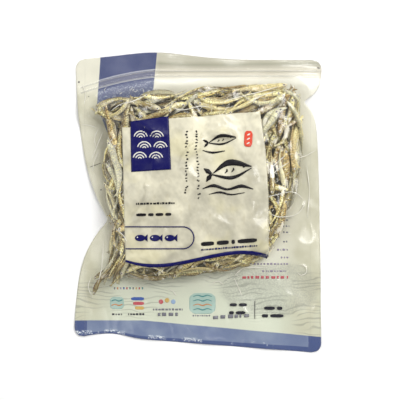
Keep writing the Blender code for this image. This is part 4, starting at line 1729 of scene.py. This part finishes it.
class POUCH_OT_fish(bpy.types.Operator):
    """Lays the loose anchovies, one piece for each kind."""

    bl_idname = "pouch.fish"
    bl_label = "Anchovies"

    def execute(self, context):
        sizes = context.scene.pouch_sizes
        school, grid = laid_fish(
            sizes.fish_count, sizes.shortest_fish, sizes.longest_fish, sizes.bed_depth
        )
        draw = np.random.default_rng(FISH_SEED + 1)
        skins = [fish_skin_material(), eye_ring_material(), pupil_material()]
        for kind in FISH_KINDS:
            members = [fish for fish in school if fish[0] == kind]
            base = fish_mesh(kind)
            rest = vertex_places(base)
            bm = bmesh.new()
            for _ in members:
                bm.from_mesh(base)
            mesh = mesh_of("anchovies_" + kind, bm)
            bent = [
                bent_vertices(rest, length, roll, spine, upright, draw.normal(0, TWIST))
                for _, length, roll, spine, upright in members
            ]
            set_places(mesh, np.concatenate(bent))
            for name in ("tone", "shift"):
                layer = mesh.attributes.new(name, "FLOAT", "POINT")
                layer.data.foreach_set("value", np.repeat(draw.random(len(members)), len(rest)))
            # Painted shade: how deep each vertex lies in the pile, eased out near the block's rim
            shaded = mesh.attributes.new("under", "FLOAT", "POINT")
            places = vertex_places(mesh)
            inside = rim_gap(places[:, 0], places[:, 1])
            inner = smooth_step((inside - SHADE_RIM[0]) / SHADE_RIM[1])
            shaded.data.foreach_set("value", inner * depth_under(grid, places))
            finish_piece("anchovies_" + kind, mesh, skins)
            bpy.data.meshes.remove(base)
        return {"FINISHED"}


# Filling below the loose fish
CORE_CELLS = 90
CORE_SHARE = 0.93
CORE_LUMPS = (5 * MM, 8, 1.5 * MM)  # cell size, seed and height
CORE_SINK = 0.6 * MM
CORE_TOP_GAP = 0.5 * MM
CORE_GAP = 0.22 * MM


class POUCH_OT_core(bpy.types.Operator):
    """Adds the filling below the loose fish, painted dark as shade on top."""

    bl_idname = "pouch.core"
    bl_label = "Core"

    def execute(self, context):
        depth = context.scene.pouch_sizes.bed_depth

        def place(u, v):
            """A place in the block, with its corners rounded."""
            across, along = 2 * u - 1, 2 * v - 1
            rounded = across * np.sqrt(1 - along**8 / 4), along * np.sqrt(1 - across**8 / 4)
            return block_place(CORE_SHARE * rounded[0], CORE_SHARE * rounded[1])

        def top(x, y):
            """Lumpy, just below the lowest fish."""
            cell, seed, height = CORE_LUMPS
            lumps = (soft_noise(x, y, cell, seed) - 0.5) * height
            bed = bed_height(x, y, depth) - CORE_SINK + lumps
            return np.maximum(bed, back_height(x, y) + CORE_TOP_GAP)

        def bottom(x, y):
            """Just above the back film."""
            return back_height(x, y) + CORE_GAP

        mesh = sheet_mesh("filling_core", CORE_CELLS, CORE_CELLS, place, top, bottom)
        finish_piece("filling_core", mesh, [core_material()])
        return {"FINISHED"}


class POUCH_OT_back_film(bpy.types.Operator):
    """Adds the pearl back film."""

    bl_idname = "pouch.back_film"
    bl_label = "Back film"

    def execute(self, context):
        mesh = sheet_mesh(
            "back_film", BACK_COLUMNS, BACK_ROWS, film_place, back_level, back_height
        )
        finish_piece("back_film", mesh, [back_film_material()])
        return {"FINISHED"}


class POUCH_OT_front_film(bpy.types.Operator):
    """Draws the clear front film over the fish."""

    bl_idname = "pouch.front_film"
    bl_label = "Front film"

    def execute(self, context):
        mesh = sheet_mesh("front_film", FILM_COLUMNS, FILM_ROWS, film_place, front_level)
        piece = finish_piece("front_film", mesh, [clear_film_material()])
        thicken(piece, FRONT_SHEET)
        return {"FINISHED"}


def film_drop(points):
    """How steeply the front film falls at most along a line, as height over length."""
    line = smooth_line(np.array(points, dtype=float), DROP_POINTS) * MM
    height = front_level(line[:, 0], line[:, 1])
    step = np.hypot(*np.diff(line, axis=0).T) + 1e-6
    return np.percentile(np.abs(np.diff(height)) / step, DROP_PERCENTILE)


class POUCH_OT_creases(bpy.types.Operator):
    """Whitens the front film along its sharpest creases, partly as painted highlight, and adds short
    painted glints and small dark specks.
    """

    bl_idname = "pouch.creases"
    bl_label = "Film creases"

    def execute(self, context):
        sheet = PrintSheet("film_creases", ["crease", "black"])
        for points in CREASE_LINES:
            if film_drop(points) < STEEP_DROP:
                sheet.ribbon(points, CREASE_WIDTHS, "crease")
        draw = np.random.default_rng(GLINT_SEED)
        for low_x, high_x, low_y, high_y, count in GLINT_FIELDS:
            for _ in range(count):
                x, y = draw.uniform(low_x, high_x), draw.uniform(low_y, high_y)
                length, turn = draw.uniform(*GLINT_LENGTHS), draw.normal(*GLINT_TURN)
                bend = draw.normal(0, GLINT_BEND)
                ahead = np.array((math.cos(turn), math.sin(turn))) * length / 2
                aside = np.array((-ahead[1], ahead[0])) * bend
                middle = np.array((x, y))
                points = [middle - ahead, middle + aside, middle + ahead]
                if film_drop(points) < STEEP_DROP:
                    sheet.ribbon(points, GLINT_WIDTHS, "crease")
        for start, end, width in SPECKS:
            sheet.quad_line(start, end, width, "black")
        sheet.lay(front_level, CREASE_LIFTS * context.scene.pouch_sizes.print_lift)
        return {"FINISHED"}


class POUCH_OT_zip(bpy.types.Operator):
    """Adds the zip's two closing tubes."""

    bl_idname = "pouch.zip"
    bl_label = "Zip"

    def execute(self, context):
        bm = bmesh.new()
        for track in ZIP_TRACKS:
            made = bmesh.ops.create_grid(
                bm, x_segments=ZIP_COLUMNS, y_segments=ZIP_SIDES, size=0.5
            )
            for vert in made["verts"]:
                turn = 2 * math.pi * (vert.co.y + 0.5)
                y = ZIP_LEVEL + track
                left, right = left_edge(y) + ZIP_INSET, right_edge(y) - ZIP_INSET
                x = left + (vert.co.x + 0.5) * (right - left)
                y = zip_line(x) + track + ZIP_TUBE * math.cos(turn)
                z = back_level(x, y) + ZIP_TUBE * (ZIP_REST + math.sin(turn))
                vert.co = (x, y, z)
        bmesh.ops.remove_doubles(bm, verts=bm.verts[:], dist=ZIP_WELD)
        ends = [edge for edge in bm.edges if edge.is_boundary]
        bmesh.ops.holes_fill(bm, edges=ends, sides=0)
        bmesh.ops.recalc_face_normals(bm, faces=bm.faces[:])
        for face in bm.faces:
            face.smooth = len(face.verts) == 4
        mesh = mesh_of("zip_profile", bm)
        finish_piece("zip_profile", mesh, [zip_material()])
        return {"FINISHED"}


# Printed panel and its print, whose plain numbers are millimetres in the drawing
PANEL_COLUMNS = 100
PANEL_ROWS = 110
PANEL_ROUNDS = 8
PANEL_GUESS = (-56 * MM, 108 * MM)  # its left side and width before the edges' curves are known
PANEL_SHEET = 0.05 * MM
PANEL_LIFTS = 4.2  # in print lifts
PANEL_SEED = 5
CORNER_ROOM = 0.7 * MM
CORNER_ACROSS = (44 * MM, 8 * MM)  # where the steep corner starts, and over how far it eases in
CORNER_DOWN = (-30 * MM, 9 * MM)
OVER_INK = 0.06 * MM
WAVE_PRINT = (-58.1, 56.4, 40)  # ends of the printed wave and its number of points
WAVE_WIDTHS = [1.8, 2.8, 2.9, 2.8, 2.8, 3.1, 3.2]
NAVY_BLOCK = [(-53.4, 25.0), (-21.4, 27.0), (-23.4, 70.0), (-54.2, 65.7)]
SHELL_ROWS = (35.5, 44.0, 52.5)
SHELL_RADII = (5.4, 3.3, 1.3)
PILL_PLACE = (40.9, 51.7)
PILL_LINES = (48.2, 51.7, 55.2)
# Dotted upright lines: X, upper and lower end, and lean
DOTTED_LINES = ((-8.3, 57.5, 7.5, 0.02), (-1.4, 58.0, 4.5, -0.05))
DOT_STEPS = (2.3, 2.5, 2.8, 4.6)
DOT_STEP_CHANCES = (0.4, 0.3, 0.2, 0.1)


class POUCH_OT_panel(bpy.types.Operator):
    """Lays the white printed panel on the front film."""

    bl_idname = "pouch.panel"
    bl_label = "Printed panel"

    def execute(self, context):
        def place(u, v):
            """A place between the panel's four uneven edges."""
            x = PANEL_GUESS[0] + PANEL_GUESS[1] * u
            for _ in range(PANEL_ROUNDS):
                y = label_bottom(x) * (1 - v) + np.minimum(label_top(x), corner_top(x)) * v
                x = label_left(y) * (1 - u) + label_right(y) * u
            return as_seen(x, y, front_level)

        mesh = sheet_mesh("printed_panel", PANEL_COLUMNS, PANEL_ROWS, place, front_level)
        places = vertex_places(mesh)
        places[:, 2] += context.scene.pouch_sizes.print_lift
        set_places(mesh, places)
        piece = finish_piece("printed_panel", mesh, [panel_material()])
        thicken(piece, PANEL_SHEET)
        return {"FINISHED"}


def corner_top(x):
    """Y of the panel's cut upper left corner."""
    return PANEL_NOTCH[1] + smooth_step((x - PANEL_NOTCH[0]) / NOTCH_EASE) * NOTCH_RISE


def panel_print_level(x, y):
    """Front film's height, with room for the print over the panel's steep lower right corner."""
    across = smooth_step((x - CORNER_ACROSS[0]) / CORNER_ACROSS[1])
    down = smooth_step((CORNER_DOWN[0] - y) / CORNER_DOWN[1])
    return front_level(x, y) + CORNER_ROOM * across * down


class POUCH_OT_panel_print(bpy.types.Operator):
    """Prints the block, strokes, lines and wave on the panel."""

    bl_idname = "pouch.panel_print"
    bl_label = "Panel print"

    def execute(self, context):
        draw = np.random.default_rng(PANEL_SEED)
        sheet = PrintSheet("panel_print", ["navy", "brush", "red", "white"])
        wave = [(x, label_bottom(np.array(x * MM)) / MM) for x in np.linspace(*WAVE_PRINT)]
        sheet.ribbon(wave, WAVE_WIDTHS, "navy")
        sheet.quad(NAVY_BLOCK, "navy")
        self.shells(sheet)
        self.strokes(sheet)
        self.lines(sheet, draw)
        sheet.lay(panel_print_level, PANEL_LIFTS * context.scene.pouch_sizes.print_lift)
        return {"FINISHED"}

    def shells(self, sheet):
        """Rows of plain scallop arcs on the navy block."""
        for row, y in enumerate(SHELL_ROWS):
            for column in range(2):
                x = -44.6 + 13.0 * column + 0.04 * (y - 44) + (3.2 if row == 1 else 0.0) - 1.6
                for radius in SHELL_RADII:
                    sheet.arc(x, y, radius, 0.95, 12, 168, "white", OVER_INK)

    def strokes(self, sheet):
        """Brush strokes shaped as plain fish and ripples."""
        self.brush_fish(sheet, (5.0, 48.0), (31.0, 53.0), 8.2)
        self.brush_fish(sheet, (6.0, 22.5), (43.5, 29.5), 15.0)
        ripple = [(4, 11.5), (13, 14), (24, 11), (35, 13.6), (45, 11.2)]
        sheet.ribbon(ripple, [0.6, 2.6, 1.6, 2.8, 0.5], "brush")
        sheet.ribbon([(9, 7.0), (18, 8.6), (27, 6.8), (38, 8.4)], [0.4, 1.7, 1.2, 0.5], "brush")
        sheet.ribbon([(4, 42.4), (12, 40.6), (22, 42.0)], [0.4, 1.8, 0.6], "brush")
        sheet.pebble(*PILL_PLACE, 3.3, 6.4, "red", turn=-0.06)
        for y in PILL_LINES:
            x = PILL_PLACE[0] + 0.06 * (y - PILL_PLACE[1])
            sheet.disc(x, y, 1.5, 0.55, "white", OVER_INK, 0.5)

    def brush_fish(self, sheet, tail, nose, depth):
        """One fish of thick and thin brush strokes."""
        tail, nose = np.array(tail), np.array(nose)
        ahead = nose - tail
        aside = np.array((-ahead[1], ahead[0])) / np.hypot(*ahead)
        mid = tail + 0.55 * ahead
        upper = [tail + 0.16 * ahead, mid + aside * depth * 0.42, nose]
        lower = [tail + 0.10 * ahead, mid - aside * depth * 0.40, nose - aside * depth * 0.08]
        sheet.ribbon(upper, [0.4, 0.20 * depth, 0.34 * depth, 0.28 * depth, 0.7], "brush")
        sheet.ribbon(lower, [0.5, 0.14 * depth, 0.20 * depth, 0.12 * depth, 0.5], "brush", 0.02 * MM)
        fork = tail + 0.14 * ahead
        for way in (1, -1):
            tip = tail + way * aside * depth * 0.36
            widths = [0.10 * depth, 0.26 * depth, 0.5]
            sheet.ribbon([fork, (fork + tip) / 2, tip], widths, "brush", OVER_STROKE)
        eye = tail + 0.84 * ahead + aside * depth * 0.08
        sheet.disc(eye[0], eye[1], 0.07 * depth, 0.07 * depth, "brush", OVER_STROKE)
        for share in (0.42, 0.56):
            low = tail + share * ahead - aside * depth * 0.10
            high = tail + (share + 0.05) * ahead + aside * depth * 0.12
            bowed = [low, (low + high) / 2 + 0.03 * ahead, high]
            sheet.ribbon(bowed, [0.4, 0.10 * depth, 0.4], "brush", OVER_STROKE)

    def lines(self, sheet, draw):
        """Dots, dashes, bars and the open pill with its small fish."""
        for x, top, low, lean in DOTTED_LINES:
            y = top
            while y > low:
                side = x - lean * (top - y)
                for _ in range(2):
                    high, wide = draw.uniform(0.35, 0.65), draw.uniform(0.4, 0.95)
                    place = side + draw.normal(0, 0.5), y + draw.normal(0, 0.35)
                    sheet.disc(*place, wide, high, "brush")
                y -= draw.choice(DOT_STEPS, p=DOT_STEP_CHANCES)
        sheet.dashes(-49.6, -1.4, 31.0, 1.7, "brush", draw, 0.02)
        sheet.pills(-49.4, -9.6, (8.0, 4.4, 6.2, 4.8), 2.3, "brush", 0.02)
        for start, y in ((-58.6, -19.2), (-58.2, -36.9)):
            sheet.ribbon([(start, y), (-30.0, y), (-11.8, y)], [0.9, 0.9], "navy")
        sheet.arc(-11.8, -28.05, 8.85, 0.9, -90, 90, "navy")
        for x in (-50.5, -38.5, -26.5):
            self.small_fish(sheet, x, -28.2)
        sheet.pills(2.8, -33.2, (10.4, 9.6, 2.6, 15.4), 3.3, "brush", 0.075)
        sheet.dashes(2.8, -38.4, 46.0, 1.5, "navy", draw, 0.075)

    def small_fish(self, sheet, x, y):
        """A small plain fish silhouette."""
        sheet.disc(x + 4.2, y, 4.2, 2.6, "navy")
        root, tip = x + 7.4, x + 10.2
        sheet.quad([(root, y - 0.5), (tip, y - 3.0), (tip, y + 3.0), (root, y + 0.5)], "navy")
        sheet.disc(x + 2.0, y + 0.6, 0.55, 0.55, "white", 0.05 * MM)


# Print on the lower and back film
LOWER_SEED = 9
BACK_SEED = 13
BACK_PRINT_LIFT = 0.05 * MM
# Small square marks, from left to right
MARK_INKS = ["grey", "orange", "mauve", "blue", "rose", "teal", "grey", "ochre", "rose", "teal"]
# Rows of dashes beside the block: lower left corner and length
SIDE_LINES = ((33.0, -49.8, 40.0), (52.0, -55.6, 21.0), (64.0, -38.4, 10.0), (67.0, -44.6, 7.0))


class POUCH_OT_lower_print(bpy.types.Operator):
    """Prints the plain bars and dashes on the clear film below the fish."""

    bl_idname = "pouch.lower_print"
    bl_label = "Lower print"

    def execute(self, context):
        draw = np.random.default_rng(LOWER_SEED)
        sheet = PrintSheet("lower_film_print", ["black", "grey"])
        sheet.pills(26.0, -82.0, (5.6, 6.4), 2.4, "black")
        sheet.pills(25.4, -88.4, (3.8, 7.6), 2.4, "black")
        sheet.bar(45.9, -93.4, 0.5, 14.5, "black")
        sheet.pills(53.6, -84.8, (8.6, 4.2), 2.6, "black")
        sheet.pills(51.8, -90.9, (5.0, 10.6), 2.6, "black")
        sheet.dashes(12.4, -93.6, 31.0, 3.0, "grey", draw, 0.06, 0.5)
        sheet.dashes(-32.0, -91.0, 16.0, 2.6, "grey", draw, 0.0, 0.5)
        sheet.lay(front_level, context.scene.pouch_sizes.print_lift)
        return {"FINISHED"}


class POUCH_OT_back_print(bpy.types.Operator):
    """Prints the small coloured marks on the back film."""

    bl_idname = "pouch.back_print"
    bl_label = "Back print"

    def execute(self, context):
        draw = np.random.default_rng(BACK_SEED)
        inks = ["mint", "orange", "teal", "blue", "rose", "ochre", "sky", "grey", "black", "mauve"]
        sheet = PrintSheet("back_film_print", inks)
        sheet.pebble(-65.0, -80.6, 5.6, 5.0, "mint")
        for y, ink in ((-79.0, "teal"), (-82.6, "orange")):
            line = [(-69.4, y), (-66.4, y + 1.0), (-63.6, y), (-60.6, y + 1.0)]
            sheet.ribbon(line, [0.9, 0.9], ink, OVER_STROKE)
        for number, ink in enumerate(("blue", "rose", "ochre")):
            place = -48.4 + 0.8 * number, -77.2 - 3.7 * number
            sheet.pebble(*place, 5.2 - 0.8 * number, 1.35, ink)
        for number, ink in enumerate(("rose", "ochre", "sky")):
            sheet.disc(-29.6 + 5.0 * number, -79.6 + 1.2 * (number % 2), 1.9, 1.9, ink)
        sheet.pebble(3.9, -81.0, 10.6, 8.4, "mint")
        for number, ink in enumerate(("teal", "teal", "orange", "teal")):
            y = -75.4 - 3.6 * number
            line = [(-3.6, y), (0.2, y + 1.1), (4.0, y), (7.8, y + 1.1), (11.4, y)]
            sheet.ribbon(line, [0.5, 1.1, 0.5], ink, OVER_STROKE)
        sheet.dashes(-69.0, -90.4, 8.0, 1.5, "black", draw)
        sheet.dashes(-56.0, -90.4, 13.0, 1.6, "black", draw)
        sheet.dashes(-36.0, -86.6, 24.0, 1.7, "grey", draw)
        sheet.dashes(-4.0, -91.4, 14.0, 1.4, "grey", draw)
        for number, ink in enumerate(MARK_INKS):
            sheet.bar(-67.5 + 2.5 * number, -69.6, 1.1, 1.7, ink)
        for x, y, length in SIDE_LINES:
            sheet.dashes(x, y, length, 1.6, "mauve", draw, 0.0, 0.5)
        sheet.dashes(36.0, -61.0, 38.0, 2.4, "rose", draw, 0.0, 0.5)
        for y in (-14.5, -19.3, -24.2, -31.8):
            sheet.dashes(69.0, y, 5.0, 1.5, "grey", draw, 0.0, 0.6)
        sheet.lay(back_level, BACK_PRINT_LIFT)
        return {"FINISHED"}


class POUCH_OT_stage(bpy.types.Operator):
    """Adds the floor, the lights and the camera."""

    bl_idname = "pouch.stage"
    bl_label = "Stage"

    def execute(self, context):
        self.add_floor()
        for light in LIGHTS:
            self.add_light(*light)
        world = bpy.data.worlds.new("Studio")
        world.use_nodes = True
        background = world.node_tree.nodes["Background"]
        background.inputs["Color"].default_value = WORLD_COLOUR
        background.inputs["Strength"].default_value = WORLD_LIGHT
        context.scene.world = world
        context.scene.view_settings.view_transform = "Standard"
        self.add_camera(context)
        return {"FINISHED"}

    def add_floor(self):
        """A broad pale floor."""
        bm = bmesh.new()
        bmesh.ops.create_grid(bm, x_segments=8, y_segments=8, size=FLOOR_SIZE)
        bmesh.ops.translate(bm, verts=bm.verts[:], vec=(0, 0, -FLOOR_DROP))
        mesh = mesh_of("floor", bm)
        mesh.materials.append(floor_material())
        floor = bpy.data.objects.new("floor", mesh)
        bpy.context.scene.collection.objects.link(floor)

    def add_light(self, name, place, size, watts):
        """A rectangular soft light that faces the pouch."""
        lamp = bpy.data.lights.new(name, "AREA")
        lamp.shape = "RECTANGLE"
        lamp.size, lamp.size_y = size
        lamp.energy = watts
        light = bpy.data.objects.new(name, lamp)
        light.location = place
        light.rotation_euler = Vector(place).to_track_quat("Z", "Y").to_euler()
        bpy.context.scene.collection.objects.link(light)

    def add_camera(self, context):
        """A camera straight above the pouch."""
        lens = bpy.data.cameras.new("Camera")
        lens.lens = CAMERA_LENS
        lens.sensor_width = CAMERA_SENSOR
        lens.clip_start = CAMERA_NEAR
        camera = bpy.data.objects.new("Camera", lens)
        camera.location = (
            VIEW_CENTRE[0] - MIDDLE[0],
            VIEW_CENTRE[1] - MIDDLE[1],
            CAMERA_DISTANCE + VIEW_LEVEL,
        )
        context.scene.collection.objects.link(camera)
        context.scene.camera = camera


STEPS = [
    POUCH_OT_fish,
    POUCH_OT_core,
    POUCH_OT_back_film,
    POUCH_OT_back_print,
    POUCH_OT_front_film,
    POUCH_OT_creases,
    POUCH_OT_zip,
    POUCH_OT_panel,
    POUCH_OT_panel_print,
    POUCH_OT_lower_print,
    POUCH_OT_stage,
]


class POUCH_PT_sidebar(bpy.types.Panel):
    """Lists the pouch's steps and settings."""

    bl_idname = "POUCH_PT_sidebar"
    bl_label = "Anchovy pouch"
    bl_space_type = "VIEW_3D"
    bl_region_type = "UI"
    bl_category = "Pouch"

    def draw(self, context):
        layout = self.layout
        for step in STEPS:
            layout.operator(step.bl_idname)
        for settings in (context.scene.pouch_sizes, context.scene.pouch_colours):
            for name in settings.__annotations__:
                layout.prop(settings, name)


CLASSES = [PouchSizes, PouchColours, *STEPS, POUCH_PT_sidebar]


def register():
    """Registers the classes and the two groups of settings."""
    for item in CLASSES:
        bpy.utils.register_class(item)
    bpy.types.Scene.pouch_sizes = PointerProperty(type=PouchSizes)
    bpy.types.Scene.pouch_colours = PointerProperty(type=PouchColours)


def unregister():
    """Takes back what register did."""
    del bpy.types.Scene.pouch_colours
    del bpy.types.Scene.pouch_sizes
    for item in reversed(CLASSES):
        bpy.utils.unregister_class(item)


def main():
    """Builds the pouch and its stage."""
    register()
    bpy.ops.pouch.fish()
    bpy.ops.pouch.core()
    bpy.ops.pouch.back_film()
    bpy.ops.pouch.back_print()
    bpy.ops.pouch.front_film()
    bpy.ops.pouch.creases()
    bpy.ops.pouch.zip()
    bpy.ops.pouch.panel()
    bpy.ops.pouch.panel_print()
    bpy.ops.pouch.lower_print()
    bpy.ops.pouch.stage()


if __name__ == "__main__":
    main()
